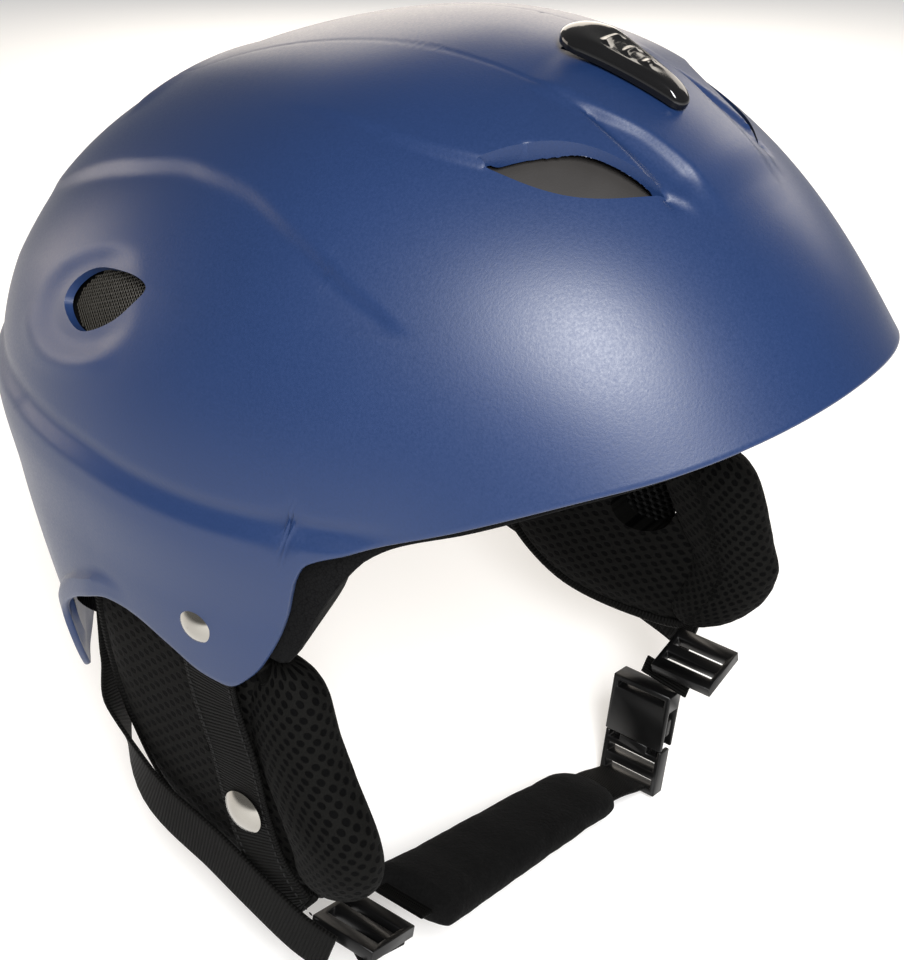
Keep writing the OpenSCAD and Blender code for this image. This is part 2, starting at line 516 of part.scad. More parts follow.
module front_webbing(side) {
    color(FABRIC) ear_side(side) difference() {
        strap(front_path(side), web_w, web_t, 3);
        translate([0, RIVET[1], RIVET[2]]) rotate([0, 90, 0]) translate([0, 0, 90]) cylinder(r = 2.55, h = 40);
        along_x(hang(SNAP[0], SNAP[1], side), SNAP[1]) translate([0, 0, 90]) cylinder(r = 4.05, h = 30);
    }
}
module rear_webbing(side) {
    color(FABRIC) ear_side(side) strap(rear_path(side), web_w, web_t, 3);
}
module rear_anchor(side) {
    color(BLACK) ear_side(side) plate(136, 146, 3, 2, function(a) -18, function(a) -12,
        function(a, e) liner_r(a, e) + 3, function(a, e) liner_r(a, e) + 0.6);
}

// ---------- adjusters: flat plates with two slots and three bars ----------
ADJUST_R = [-86, -21, -147];
ADJUST_L = [83, -38, -137.5];
module adjuster() {
    difference() {
        translate([-10.5, -12.5, -2.2]) cube([21, 25, 4.4]);
        for (x = [-5.4, 2.2]) translate([x, -10.4, -3]) cube([3.2, 20.8, 6]);
    }
}
module strap_adjuster_right() {
    color(BLACK) translate(ADJUST_R) rotate([0, 14, 0]) adjuster();
}
module strap_adjuster_left() {
    color(BLACK) translate(ADJUST_L) rotate([0, -14, 0]) adjuster();
}
module webbing_tail() {
    color(FABRIC) translate([ADJUST_R[0] - 1, ADJUST_R[1], ADJUST_R[2] - 4.6]) rotate([0, 20, 0]) difference() {
        translate([-12, -web_w / 2, -web_t / 2]) cube([22, web_w, web_t]);
        translate([-12, -web_w / 2, -2]) rotate([0, 0, -32]) translate([-20, -30, 0]) cube([20, 60, 4]);
    }
}

// ---------- buckle, in its own frame: +Z runs up into the female half, +X faces outwards ----------
module buckle_frame() {
    translate(PIVOT) rotate([0, BUCKLE_TILT, 0]) translate([BUCKLE_R, 0, 0]) children();
}
FEMALE_L = 24;
ARM_L = 15;
SLOT_T = 5.4;
module buckle_female() {
    color(BLACK) buckle_frame() difference() {
        translate([-buckle_t / 2 + 0.3, -buckle_w / 2, 0.3]) cube([buckle_t, buckle_w, FEMALE_L]);
        translate([-SLOT_T / 2 + 0.5, -buckle_w / 2 - 1, -1]) cube([SLOT_T, buckle_w + 2, 17.8]);
        translate([-6, -web_w / 2 - 0.3, 19.4]) cube([12, web_w + 0.6, 2.6]);
    }
}
module buckle_male() {
    color(BLACK) buckle_frame() {
        difference() {
            translate([-3, -buckle_w / 2, -20]) cube([6, buckle_w, 19.6]);
            for (z = [-17.4, -9.6]) translate([-4, -web_w / 2 - 0.3, z]) cube([8, web_w + 0.6, 4]);
            for (s = [-1, 1]) translate([-4, s * 8.5 - 2.3, -3.2]) cube([8, 4.6, 4]);
        }
        translate([-1.3, -2, -0.5]) cube([2.6, 4, 14]);
    }
}
// One springy arm: a blade with a swollen head, pivoting at its root
module buckle_prong(s) {
    color(BLACK) buckle_frame() translate([0, s * 8.5, 0]) {
        translate([-1.5, -1.2, -2]) cube([3, 2.4, ARM_L]);
        translate([-1.5, s > 0 ? -1.2 : -3.6, 6]) cube([3, 4.8, ARM_L - 8]);
        translate([-1.5, 0, -2]) rotate([0, 90, 0]) cylinder(r = 1.2, h = 3);
    }
}
module buckle_webbing() {
    color(FABRIC) strap([[76.8, -29, -148.4, 1, 0, 0], [77.8, -29.5, -145.4, 1, 0, 0], [79, -30, -142.2, 1, 0, 0]],
                        web_w, web_t, 2);
}

// ---------- chin strap ----------
CHIN = [[-71, -148], [-66, -149.6], [-50, -154], [-20, -161.5], [20, -172], [44, -179.5], [56, -185], [62.5, -188]];
function chin_path(list) = [for (p = list) [p[0], PIVOT[1], p[1], 0, 0, 1]];
module chin_webbing() {
    color(FABRIC) strap(chin_path(CHIN), web_w, web_t, 3);
}
module chin_pad() {
    k = spline(chin_path(CHIN), 3);
    last = len(k) - 8;
    color(BLACK) difference() {
        loft([for (i = [3:last])
            let (g = (i - 3) / (last - 3), w = chin_w / 2 * (1 - 0.22 * g * g) * round_end((1 - g) * 60, 9),
                 t = unit(xyz(k[i + 1]) - xyz(k[i - 1])), h = cross(t, [0, 1, 0]))
            [for (q = [0:20:359]) xyz(k[i]) + [0, w * cos(q), 0] - h * (6.2 - 1.6 * g) * sin(q) * round_end((1 - g) * 60, 9)]]);
        strap(chin_path(CHIN), web_w + 0.6, web_t + 0.6, 3);
    }
}

outer_shell();
eps_liner();
crown_pad();
brow_pad();
temple_pad("right");  // temple_pad_right
temple_pad("left");  // temple_pad_left
nape_pad();
rear_vent_mesh("right");  // rear_vent_mesh_right
rear_vent_mesh("left");  // rear_vent_mesh_left
vent_knob();
vent_carriage();
shutter("right");  // shutter_right
shutter("left");  // shutter_left
knob_screws();
shell_rivet("right");  // shell_rivet_right
shell_rivet("left");  // shell_rivet_left
rivet_washer("right");  // rivet_washer_right
rivet_washer("left");  // rivet_washer_left
front_webbing("right");  // front_webbing_right
front_webbing("left");  // front_webbing_left
rear_webbing("right");  // rear_webbing_right
rear_webbing("left");  // rear_webbing_left
rear_anchor("right");  // rear_anchor_right
rear_anchor("left");  // rear_anchor_left
snap_cap("right");  // snap_cap_right
snap_cap("left");  // snap_cap_left
ear_panel("right");  // ear_panel_right
ear_panel("left");  // ear_panel_left
ear_roll("right");  // ear_roll_right
ear_roll("left");  // ear_roll_left
ear_window("right");  // ear_window_right
ear_window("left");  // ear_window_left
snap_stud("right");  // snap_stud_right
snap_stud("left");  // snap_stud_left
strap_adjuster_right();
strap_adjuster_left();
webbing_tail();
buckle_webbing();
buckle_female();
buckle_male();
buckle_prong(-1);  // buckle_prong_front
buckle_prong(1);  // buckle_prong_rear
chin_webbing();
chin_pad();
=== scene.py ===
"""Ski helmet: the looks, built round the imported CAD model. Lengths in the helpers are millimetres."""
import math

import bmesh
import bpy
import numpy as np
from mathutils import Matrix, Vector


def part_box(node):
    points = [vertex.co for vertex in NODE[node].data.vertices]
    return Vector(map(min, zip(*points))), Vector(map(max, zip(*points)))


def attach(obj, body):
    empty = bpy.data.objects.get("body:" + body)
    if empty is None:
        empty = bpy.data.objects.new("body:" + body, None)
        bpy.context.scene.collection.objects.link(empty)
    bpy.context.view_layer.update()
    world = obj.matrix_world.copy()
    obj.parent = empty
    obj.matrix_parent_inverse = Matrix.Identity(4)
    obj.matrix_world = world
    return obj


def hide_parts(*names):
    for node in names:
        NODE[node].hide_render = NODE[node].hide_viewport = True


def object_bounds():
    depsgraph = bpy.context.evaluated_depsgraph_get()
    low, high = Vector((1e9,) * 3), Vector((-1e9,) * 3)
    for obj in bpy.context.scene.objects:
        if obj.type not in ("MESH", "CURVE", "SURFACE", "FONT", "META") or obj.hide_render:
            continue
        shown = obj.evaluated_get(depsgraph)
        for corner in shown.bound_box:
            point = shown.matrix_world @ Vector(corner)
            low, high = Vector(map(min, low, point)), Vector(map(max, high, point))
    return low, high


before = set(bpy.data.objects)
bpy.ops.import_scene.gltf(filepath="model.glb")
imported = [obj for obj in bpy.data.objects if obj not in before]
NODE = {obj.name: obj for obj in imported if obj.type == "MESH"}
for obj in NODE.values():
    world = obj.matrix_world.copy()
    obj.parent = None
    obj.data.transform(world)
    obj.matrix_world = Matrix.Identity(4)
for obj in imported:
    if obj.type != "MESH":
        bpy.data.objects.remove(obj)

CAD_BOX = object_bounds()
MM = 0.001

# ---------- driving dimensions, as in the CAD source ----------
HALF_W, FRONT_L, REAR_L, CROWN_H, SKIRT_H = 110.5, 130.0, 166.5, 115.0, 223.0
WIDEN, SHELL_T, BRIM_FLARE, NAPE_FLARE, FLARE_WIDTH = 0.205, 2.4, 0.041, 0.05, 9.0
BELT_STEP, LEAF_DEPTH, CROWN_STEP = 2.1, 2.2, 1.8
CAVITY_W, CAVITY_L, CAVITY_H, CAVITY_Y, COMFORT_T = 82.0, 111.0, 92.0, 17.0, 6.0
LINER_GAP, PAD_GAP = 6.0, 0.8
RIM = [[0, 47], [35, 32], [60, 15.5], [71, 7.5], [77.5, 2], [79.5, -5], [81, -16], [84, -30], [88, -42], [93, -49.5],
       [97, -48.5], [103, -43], [109, -38.5], [114, -37.5], [120, -43], [126, -53], [130, -64], [133, -82],
       [137, -97], [144, -103], [160, -104], [180, -102]]
LINER_RIM = [[0, 44], [35, 28.5], [55, 15], [65, 8.5], [70, 2.5], [73, -4], [76, -12.5], [79, -22.5], [82, -35],
             [85, -41.5], [89, -39], [93, -35], [98, -32], [127, -30], [136, -46], [144, -72], [152, -92],
             [164, -98], [180, -98]]
BELT = [[62, 9.8], [78, 8], [94, 6.8], [105, 7.4], [118, 9], [131, 9], [150, 6.8]]
LEAF_TOP = [[60, 35.2], [72, 40], [88, 46], [104, 48.8], [119, 47], [137, 38.5], [158, 22], [165, 18]]
LEAF_LOW = [[60, 35], [73, 34.7], [96, 32.3], [111, 30.5], [125, 27], [140, 20], [158, 10], [165, 6]]
CROWN_EDGE = [[-84, 20], [-72, 24.5], [-60, 28.5], [-50, 33], [-41, 40.5], [-36, 48], [-10, 53.5], [36, 54]]
CROWN_RISE = [[-86, 0], [-73, 0.9], [-36, 1], [-10, 0.45], [36, 0]]
SCOOP_IN = [[-77, 14.3], [-64, 15.3], [-51, 19], [-42, 21.5]]
SCOOP_OUT = [[-77, 24], [-70, 23], [-59, 22], [-42, 21]]
VENT_A, VENT_B, VENT_BULGE = np.array([48.2, -35]), np.array([23.2, -74.5]), 5.7
REAR_VENT, REAR_VENT_TURN, REAR_VENT_SCALE = (120, 24.7), 36, (1.97, 2.13)  # degrees, degrees, mm per degree
REAR_VENT_EDGE = [[-18.5, 1], [-14.5, 7], [-3, 9.5], [13, 5], [20.5, -0.5], [13.5, -4.5], [3, -7], [-10.5, -7]]
SLIDE_AXIS = (-1, -24)
KNOB_Y, KNOB_L, KNOB_W, KNOB_H = -45.0, 40.0, 17.0, 5.0
HINGE_Z = -46.0
LEAD_TOP, LEAD_LOW, PAD_DROP = 38.0, 18.0, 5.0
PANEL_T, ROLL_W, ROLL_T = 11.0, 35.0, 23.0
WEB_W, WEB_T, CHIN_W = 20.0, 1.4, 35.0
WINDOW, SNAP = (17.6, -81), (11, -105)
SIDES = ("right", "left")


# ---------- small maths; angles in degrees ----------
def cosd(x):
    return np.cos(np.radians(x))


def sind(x):
    return np.sin(np.radians(x))


def soft(x):
    x = np.clip(x, 0, 1)
    return x * x * (3 - 2 * x)


def keyed(keys, x):
    """A smooth curve through [x, value] keys, flat at both ends."""
    k = np.array(keys, float)
    x = np.clip(np.asarray(x, float), k[0, 0], k[-1, 0])
    rise = np.diff(k[:, 1]) / np.diff(k[:, 0])
    s = np.zeros(len(k))
    for i in range(1, len(k) - 1):
        if rise[i - 1] * rise[i] > 0:
            s[i] = 2 * rise[i - 1] * rise[i] / (rise[i - 1] + rise[i])
    i = np.clip(np.searchsorted(k[:, 0], x, side="right") - 1, 0, len(k) - 2)
    h = k[i + 1, 0] - k[i, 0]
    t = (x - k[i, 0]) / h
    return ((2 * t**3 - 3 * t**2 + 1) * k[i, 1] + (t**3 - 2 * t**2 + t) * h * s[i]
            + (3 * t**2 - 2 * t**3) * k[i + 1, 1] + (t**3 - t**2) * h * s[i + 1])


def spline(points, n, closed=False):
    """A Catmull-Rom curve with n steps between two points."""
    p = np.array(points, float)
    m = len(p)
    out = []
    for i in range(m if closed else m - 1):
        pick = (lambda j: p[j % m]) if closed else (lambda j: p[min(max(j, 0), m - 1)])
        a, b, c, d = pick(i - 1), pick(i), pick(i + 1), pick(i + 2)
        for t in np.arange(n) / n:
            out.append(0.5 * (2 * b + (c - a) * t + (2 * a - 5 * b + 4 * c - d) * t * t
                              + (3 * b - a - 3 * c + d) * t**3))
    return np.array(out if closed else out + [p[-1]])


def unit(v):
    v = np.asarray(v, float)
    return v / np.maximum(np.linalg.norm(v, axis=-1, keepdims=True), 1e-9)


def round_end(d, r):
    """Height share of a rounded end at distance d from the tip, with end radius r."""
    return np.sqrt(np.maximum(0, 1 - (1 - np.clip(d / r, 0, 1))**2))


# ---------- the dome, in angle a from the front and elevation e ----------
def away(a):
    a = np.mod(a, 360)
    return np.where(a > 180, 360 - a, a)


def at(a, e, r):
    return np.stack(np.broadcast_arrays(r * sind(a) * cosd(e), -r * cosd(a) * cosd(e), r * sind(e)), -1)


def dome_r(a, e):
    w = HALF_W * (1 - WIDEN * cosd(a))
    length = (FRONT_L + REAR_L) / 2 - (REAR_L - FRONT_L) / 2 * cosd(a)
    h = np.where(e < 0, SKIRT_H, CROWN_H)
    r = ((sind(a) * cosd(e) / w)**2 + (cosd(a) * cosd(e) / length)**2 + (sind(e) / h)**2)**-0.5
    return r * (1 + 0.048 * cosd(a) * cosd(e) * np.abs(sind(e)) - 0.06 * cosd(2 * a) * (cosd(e) * sind(e))**2)


def flare(a, d):
    b = away(a)
    f = np.where(b < 72, BRIM_FLARE * cosd(b * 1.25) * soft((72 - b) / 16), 0)
    n = np.where(b > 116, NAPE_FLARE * cosd((180 - b) * 1.4), 0)
    return 1 + (f + n) * np.exp(-np.maximum(d, 0) / FLARE_WIDTH)


def rim_e(a, z):
    e = np.degrees(np.arcsin(z / 120))
    for _ in range(8):
        e = np.degrees(np.arcsin(z / (dome_r(a, e) * flare(a, 0))))
    return e


def shell_rim(a):
    return rim_e(a, keyed(RIM, away(a)))


def liner_rim(a):
    return rim_e(a, keyed(LINER_RIM, away(a)))


def vent_uv(b, e):
    """Where a direction lies on the rear vent, in millimetres along and across it."""
    u, v = (REAR_VENT[0] - b) * REAR_VENT_SCALE[0], (e - REAR_VENT[1]) * REAR_VENT_SCALE[1]
    t = REAR_VENT_TURN
    return u * cosd(t) + v * sind(t), v * cosd(t) - u * sind(t)


def vent_direction(u, v):
    """The other way round: the direction of a point on the rear vent."""
    t = REAR_VENT_TURN
    x, y = u * cosd(t) - v * sind(t), u * sind(t) + v * cosd(t)
    return REAR_VENT[0] - x / REAR_VENT_SCALE[0], REAR_VENT[1] + y / REAR_VENT_SCALE[1]


def relief(a, e, d, r):
    """What the shell's styling adds to its radius: belt, side leaf, rear vent, crown, notch and front hood."""
    b = away(a)
    p = at(b, e, r)
    x, y, z = np.abs(p[..., 0]), p[..., 1], p[..., 2]
    h = z - keyed(BELT, b)
    belt = soft((b - 62) / 14) * (BELT_STEP * soft((3.5 - h) / 5) * (1 - 0.7 * soft(-(h + 6) / 26))
                                  - 0.7 * np.exp(-((h - 5) / 2)**2))
    top, low = keyed(LEAF_TOP, b), keyed(LEAF_LOW, b)
    leaf = (-LEAF_DEPTH * soft((b - 60) / 10) * soft((165 - b) / 15) * soft((top - e) / 3)
            * np.maximum(0, 1 - (top - e) / (top - low)))
    u, v = vent_uv(b, e)
    q = np.hypot((u + 3) / 23, v / 12)
    rear = (-1.8 * soft((1.35 - q) / 0.5) * soft((20 - u) / 22)
            + 0.5 * np.exp(-((q - 1.42) / 0.2)**2) * soft((4 - v) / 8) * soft((10 - u) / 16))
    crown = (CROWN_STEP * keyed(CROWN_RISE, y) * soft((keyed(CROWN_EDGE, y) + 1 - x) / 2.5)
             + 1.2 * soft((y + 92) / 16) * soft((-28 - y) / 12) * soft((19 - 0.16 * (-36 - y) + 6 - x) / 6)
             - 1.4 * soft((x - keyed(SCOOP_IN, y) + 1.2) / 2.4) * soft((keyed(SCOOP_OUT, y) + 1.2 - x) / 2.4)
             * soft((y + 80) / 6))
    notch = 2.2 * soft((b - 110) / 9) * soft((150 - b) / 8) * soft((9 - d * r * np.pi / 180) / 2.5)
    hood = np.where(z < 60, 0, 1.2 * np.exp(-((y - 100) / 5)**2) * soft((45 - x) / 12))
    return belt + leaf + rear + crown + notch + hood


def shell_r(a, e, rim):
    r = dome_r(a, e) * flare(a, e - rim)
    return r + relief(a, e, e - rim, r)


def cavity_r(a, e):
    d = at(a, e, 1.0)
    h = np.where(e < 0, 200, CAVITY_H)
    q = (d[..., 0] / CAVITY_W)**2 + (d[..., 1] / CAVITY_L)**2 + (d[..., 2] / h)**2
    b, c = d[..., 1] * CAVITY_Y / CAVITY_L**2, 1 - (CAVITY_Y / CAVITY_L)**2
    return (b + np.sqrt(b * b + q * c)) / q


# ---------- meshes ----------
def new_object(name, points, faces, sharp=40):
    """A smooth-shaded object from points in millimetres, with face normals pointing outwards."""
    mesh = bpy.data.meshes.new(name)
    mesh.from_pydata((np.asarray(points, float).reshape(-1, 3) * MM).tolist(), [], [list(f) for f in faces])
    obj = bpy.data.objects.new(name, mesh)
    bpy.context.scene.collection.objects.link(obj)
    bm = bmesh.new()
    bm.from_mesh(mesh)
    bmesh.ops.recalc_face_normals(bm, faces=bm.faces)
    bm.to_mesh(mesh)
    bm.free()
    shade(obj, sharp)
    return obj


def shade(obj, sharp=40):
    obj.data.polygons.foreach_set("use_smooth", [True] * len(obj.data.polygons))
    obj.data.set_sharp_from_angle(angle=math.radians(sharp))


def ring_stack(name, rings, tips=None, sharp=40):
    """A closed surface through rings of equal length; tips are its two end points, or None for flat ends."""
    rings = np.asarray(rings, float)
    rows, n = rings.shape[:2]
    index = np.arange(rows * n).reshape(rows, n)
    around = np.roll(index, -1, 1)
    faces = np.stack([index[:-1], around[:-1], around[1:], index[1:]], -1).reshape(-1, 4).tolist()
    points = rings.reshape(-1, 3)
    if tips is None:
        faces += [index[0].tolist(), index[-1].tolist()[::-1]]
    else:
        points = np.vstack([points, tips])
        faces += [[rows * n, i, j] for i, j in zip(index[0], around[0])]
        faces += [[rows * n + 1, j, i] for i, j in zip(index[-1], around[-1])]
    return new_object(name, points, faces, sharp)


def apply_modifiers(obj):
    depsgraph = bpy.context.evaluated_depsgraph_get()
    mesh = bpy.data.meshes.new_from_object(obj.evaluated_get(depsgraph), preserve_all_data_layers=True,
                                           depsgraph=depsgraph)
    obj.modifiers.clear()
    obj.data = mesh
    return obj


def cut(obj, *cutters):
    for cutter in cutters:
        tool = obj.modifiers.new("cut", "BOOLEAN")
        tool.operation, tool.object, tool.solver = "DIFFERENCE", cutter, "EXACT"
    apply_modifiers(obj)
    for cutter in cutters:
        bpy.data.objects.remove(cutter)
    return obj


def bevel(obj, width, segments=2, angle=35):
    tool = obj.modifiers.new("bevel", "BEVEL")
    tool.width, tool.segments, tool.limit_method = width * MM, segments, "ANGLE"
    tool.angle_limit = math.radians(angle)
    tool.harden_normals = True
    return apply_modifiers(obj)


def subdivide(obj, levels=1):
    tool = obj.modifiers.new("subdivide", "SUBSURF")
    tool.levels = tool.render_levels = levels
    return apply_modifiers(obj)


def coords(obj):
    co = np.empty(len(obj.data.vertices) * 3)
    obj.data.vertices.foreach_get("co", co)
    return co.reshape(-1, 3) / MM


def set_coords(obj, points):
    obj.data.vertices.foreach_set("co", (np.asarray(points) * MM).ravel())
    obj.data.update()


def weave(obj, uv):
    """Stores where each point lies on its cloth, in millimetres along and across, for the weave materials."""
    flat = np.zeros((len(obj.data.vertices), 3))
    flat[:, :uv.shape[1]] = uv
    attribute = obj.data.attributes.get("weave") or obj.data.attributes.new("weave", "FLOAT_VECTOR", "POINT")
    attribute.data.foreach_set("vector", flat.ravel())
    return obj


def copy_of(node, name, width=0.5, segments=2):
    """A rounded copy of a hard CAD part, which it then stands for."""
    obj = bpy.data.objects.new(name, NODE[node].data.copy())
    bpy.context.scene.collection.objects.link(obj)
    bm = bmesh.new()
    bm.from_mesh(obj.data)
    bmesh.ops.remove_doubles(bm, verts=bm.verts, dist=0.00002)
    bmesh.ops.dissolve_limit(bm, angle_limit=math.radians(1), verts=bm.verts, edges=bm.edges)
    bm.to_mesh(obj.data)
    bm.free()
    bevel(obj, width, segments)
    shade(obj)
    return obj


def mirrored(obj, name, shift=None):
    """The same piece for the other side; shift moves its points after the mirror."""
    twin = bpy.data.objects.new(name, obj.data.copy())
    bpy.context.scene.collection.objects.link(twin)
    p = coords(twin) * [-1, 1, 1]
    set_coords(twin, p if shift is None else shift(p))
    twin.data.flip_normals()
    return twin


def join(name, objects):
    """One object from several."""
    bm = bmesh.new()
    for o in objects:
        bm.from_mesh(o.data)
    mesh = bpy.data.meshes.new(name)
    bm.to_mesh(mesh)
    bm.free()
    for o in objects:
        bpy.data.objects.remove(o)
    obj = bpy.data.objects.new(name, mesh)
    bpy.context.scene.collection.objects.link(obj)
    shade(obj)
    return obj


def paint_node(name, material):
    """A CAD part that shows as it is gets its material."""
    NODE[name].data.materials.clear()
    NODE[name].data.materials.append(material)


def finish_piece(obj, body, material, slot, *nodes):
    obj.data.materials.clear()
    obj.data.materials.append(material)
    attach(obj, body)
    if nodes:
        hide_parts(*nodes)
    return obj


# ---------- materials ----------
class Shader:
    """A principled material and short ways to add nodes to it."""

    def __init__(self, name, color, rough, **sockets):
        self.mat = bpy.data.materials.new(name)
        self.mat.use_nodes = True
        self.tree = self.mat.node_tree
        self.bsdf = self.tree.nodes["Principled BSDF"]
        self.bsdf.inputs["Base Color"].default_value = (*color, 1)
        self.bsdf.inputs["Roughness"].default_value = rough
        for key, value in sockets.items():
            self.bsdf.inputs[key.replace("_", " ")].default_value = value

    def node(self, kind, settings=None, **inputs):
        n = self.tree.nodes.new(kind)
        for key, value in (settings or {}).items():
            setattr(n, key, value)
        for key, value in inputs.items():
            self.feed(n.inputs[int(key[1:])] if key[0] == "i" and key[1:].isdigit() else n.inputs[key], value)
        return n

    def feed(self, socket, value):
        if isinstance(value, bpy.types.NodeSocket):
            self.tree.links.new(value, socket)
        else:
            socket.default_value = value

    def place(self, scale=(1, 1, 1), turn=0.0, attribute=None):
        """Texture coordinates: the object's own, or the cloth's."""
        if attribute:
            source = self.node("ShaderNodeAttribute", {"attribute_name": attribute}).outputs["Vector"]
        else:
            source = self.node("ShaderNodeTexCoord").outputs["Object"]
        return self.node("ShaderNodeMapping", Vector=source, Scale=scale,
                         Rotation=(0, 0, math.radians(turn))).outputs[0]

    def noise(self, where, scale, detail=3.0, rough=0.5):
        return self.node("ShaderNodeTexNoise", Vector=where, Scale=scale, Detail=detail,
                         Roughness=rough).outputs["Fac"]

    def remap(self, value, low, high, to_low=0.0, to_high=1.0):
        n = self.node("ShaderNodeMapRange", {"interpolation_type": "SMOOTHSTEP"}, Value=value)
        for i, v in zip((1, 2, 3, 4), (low, high, to_low, to_high)):
            n.inputs[i].default_value = v
        return n.outputs[0]

    def math(self, operation, *values):
        n = self.node("ShaderNodeMath", {"operation": operation})
        for i, v in enumerate(values):
            self.feed(n.inputs[i], v)
        return n.outputs[0]

    def mix(self, factor, low, high):
        n = self.node("ShaderNodeMix", {"data_type": "RGBA"})
        self.feed(n.inputs[0], factor)
        self.feed(n.inputs[6], (*low, 1) if isinstance(low, tuple) else low)
        self.feed(n.inputs[7], (*high, 1) if isinstance(high, tuple) else high)
        return n.outputs[2]

    def color(self, factor, low, high):
        self.feed(self.bsdf.inputs["Base Color"], self.mix(factor, low, high))

    def rough(self, factor, low, high):
        self.feed(self.bsdf.inputs["Roughness"], self.remap(factor, 0, 1, low, high))

    def bump(self, height, strength, depth):
        """Depth is in millimetres."""
        last = self.bsdf.inputs["Normal"].links
        n = self.node("ShaderNodeBump", Strength=strength, Distance=depth * MM, Height=height)
        if last:
            self.tree.links.new(last[0].from_socket, n.inputs["Normal"])
        self.tree.links.new(n.outputs[0], self.bsdf.inputs["Normal"])


def shell_paint():
    s = Shader("satin_blue_paint", (0.01, 0.03, 0.1), 0.4, Specular_IOR_Level=0.42)
    where = s.place()
    cloud = s.noise(where, 14, 3)
    grain = s.noise(where, 1300, 3, 0.65)
    s.color(s.math("ADD", s.math("MULTIPLY", cloud, 0.45), s.math("MULTIPLY", grain, 0.55)),
            (0.0055, 0.018, 0.06), (0.0125, 0.033, 0.112))
    s.rough(grain, 0.33, 0.47)
    s.bump(grain, 0.3, 0.1)
    s.bump(s.noise(where, 420, 2), 0.06, 0.1)
    return s.mat


def foam():
    s = Shader("black_moulded_foam", (0.004, 0.004, 0.004), 0.8, Specular_IOR_Level=0.05)
    beads = s.node("ShaderNodeTexVoronoi", {"feature": "DISTANCE_TO_EDGE"}, Vector=s.place(), Scale=900.0)
    edge = s.remap(beads.outputs["Distance"], 0, 0.12)
    s.color(edge, (0.002, 0.002, 0.0022), (0.006, 0.006, 0.0063))
    s.bump(edge, 0.25, 0.08)
    return s.mat


def spacer_mesh(name, pitch_u, pitch_v, depth):
    """Thick open knit: staggered oval holes, painted dark as painted shade, in a soft black face."""
    s = Shader(name, (0.005, 0.005, 0.005), 0.75, Specular_IOR_Level=0.05)
    root = math.sqrt(0.5)
    where = s.place((root / pitch_u, root / pitch_v, 0), 45, "weave")
    cell = s.node("ShaderNodeTexVoronoi", {"voronoi_dimensions": "2D"}, Vector=where, Scale=1.0, Randomness=0.12)
    face = s.remap(cell.outputs["Distance"], 0.24, 0.4)
    thread = s.noise(s.place(), 1800, 3, 0.7)
    # the holes are painted near-black: painted shade inside the open knit
    s.color(face, (0.0004, 0.0004, 0.0005), s.mix(thread, (0.0018, 0.0018, 0.0018), (0.0075, 0.0073, 0.0066)))
    s.bump(thread, 0.4, 0.2)
    s.bump(face, 0.8, depth)
    return s.mat


def knit():
    s = Shader("brushed_lining", (0.006, 0.006, 0.006), 0.9, Specular_IOR_Level=0.1, Sheen_Weight=0.02,
               Sheen_Roughness=0.4)
    fuzz = s.noise(s.place(), 1500, 4, 0.7)
    s.color(fuzz, (0.0025, 0.0025, 0.0027), (0.009, 0.009, 0.0095))
    s.bump(fuzz, 0.6, 0.5)
    return s.mat


def webbing():
    """Ribbed nylon tape: ribs across it, and a finer weave along each rib, with painted shade in the grooves between
    them.
    """
    s = Shader("ribbed_webbing", (0.003, 0.003, 0.003), 0.65, Specular_IOR_Level=0.06)
    parts = s.node("ShaderNodeSeparateXYZ", i0=s.place((1, 1, 1), 0, "weave"))
    rib = s.math("ABSOLUTE", s.math("SINE", s.math("MULTIPLY", parts.outputs[0], math.pi / 1.25)))
    yarn = s.math("ABSOLUTE", s.math("SINE", s.math("MULTIPLY", parts.outputs[1], math.pi / 0.8)))
    # painted shade: the colour is darker in the grooves between ribs and yarns, lighter on their crests
    painted_groove_shade = s.math("MULTIPLY", rib, s.math("ADD", s.math("MULTIPLY", yarn, 0.35), 0.65))
    s.color(painted_groove_shade, (0.0005, 0.0005, 0.0005), (0.0042, 0.0041, 0.0038))
    s.bump(yarn, 0.3, 0.12)
    s.bump(rib, 0.9, 0.4)
    return s.mat


def fleece():
    s = Shader("black_fleece", (0.004, 0.004, 0.004), 0.95, Specular_IOR_Level=0.05, Sheen_Weight=0.012,
               Sheen_Roughness=0.35)
    where = s.place()
    pile = s.noise(where, 700, 4, 0.75)
    tuft = s.noise(where, 160, 3, 0.6)
    s.color(pile, (0.0012, 0.0012, 0.0013), (0.0075, 0.0075, 0.0075))
    s.bump(tuft, 0.5, 1.2)
    s.bump(pile, 0.8, 0.8)
    return s.mat


def moulded(name, color, rough, grain=0.3, gloss=0.5):
    """Injection-moulded plastic with a spark-eroded skin."""
    s = Shader(name, color, rough, Specular_IOR_Level=gloss)
    where = s.place()
    skin = s.noise(where, 1900, 2)
    wear = s.noise(where, 60, 3)
    s.color(wear, tuple(c * 0.75 for c in color), tuple(c * 1.25 for c in color))
    s.rough(wear, max(rough - 0.06, 0.02), rough + 0.06)
    s.bump(skin, grain, 0.05)
    return s.mat


def metal():
    s = Shader("satin_chrome", (0.4, 0.38, 0.34), 0.2, Metallic=1.0)
    brush = s.noise(s.place(), 90, 3)
    s.color(brush, (0.3, 0.285, 0.255), (0.46, 0.44, 0.4))
    s.rough(brush, 0.1, 0.2)
    return s.mat


def thread():
    s = Shader("sewing_thread", (0.006, 0.006, 0.006), 0.6, Specular_IOR_Level=0.15)
    twist = s.noise(s.place(), 2500, 2)
    s.color(twist, (0.003, 0.003, 0.003), (0.011, 0.011, 0.011))
    return s.mat


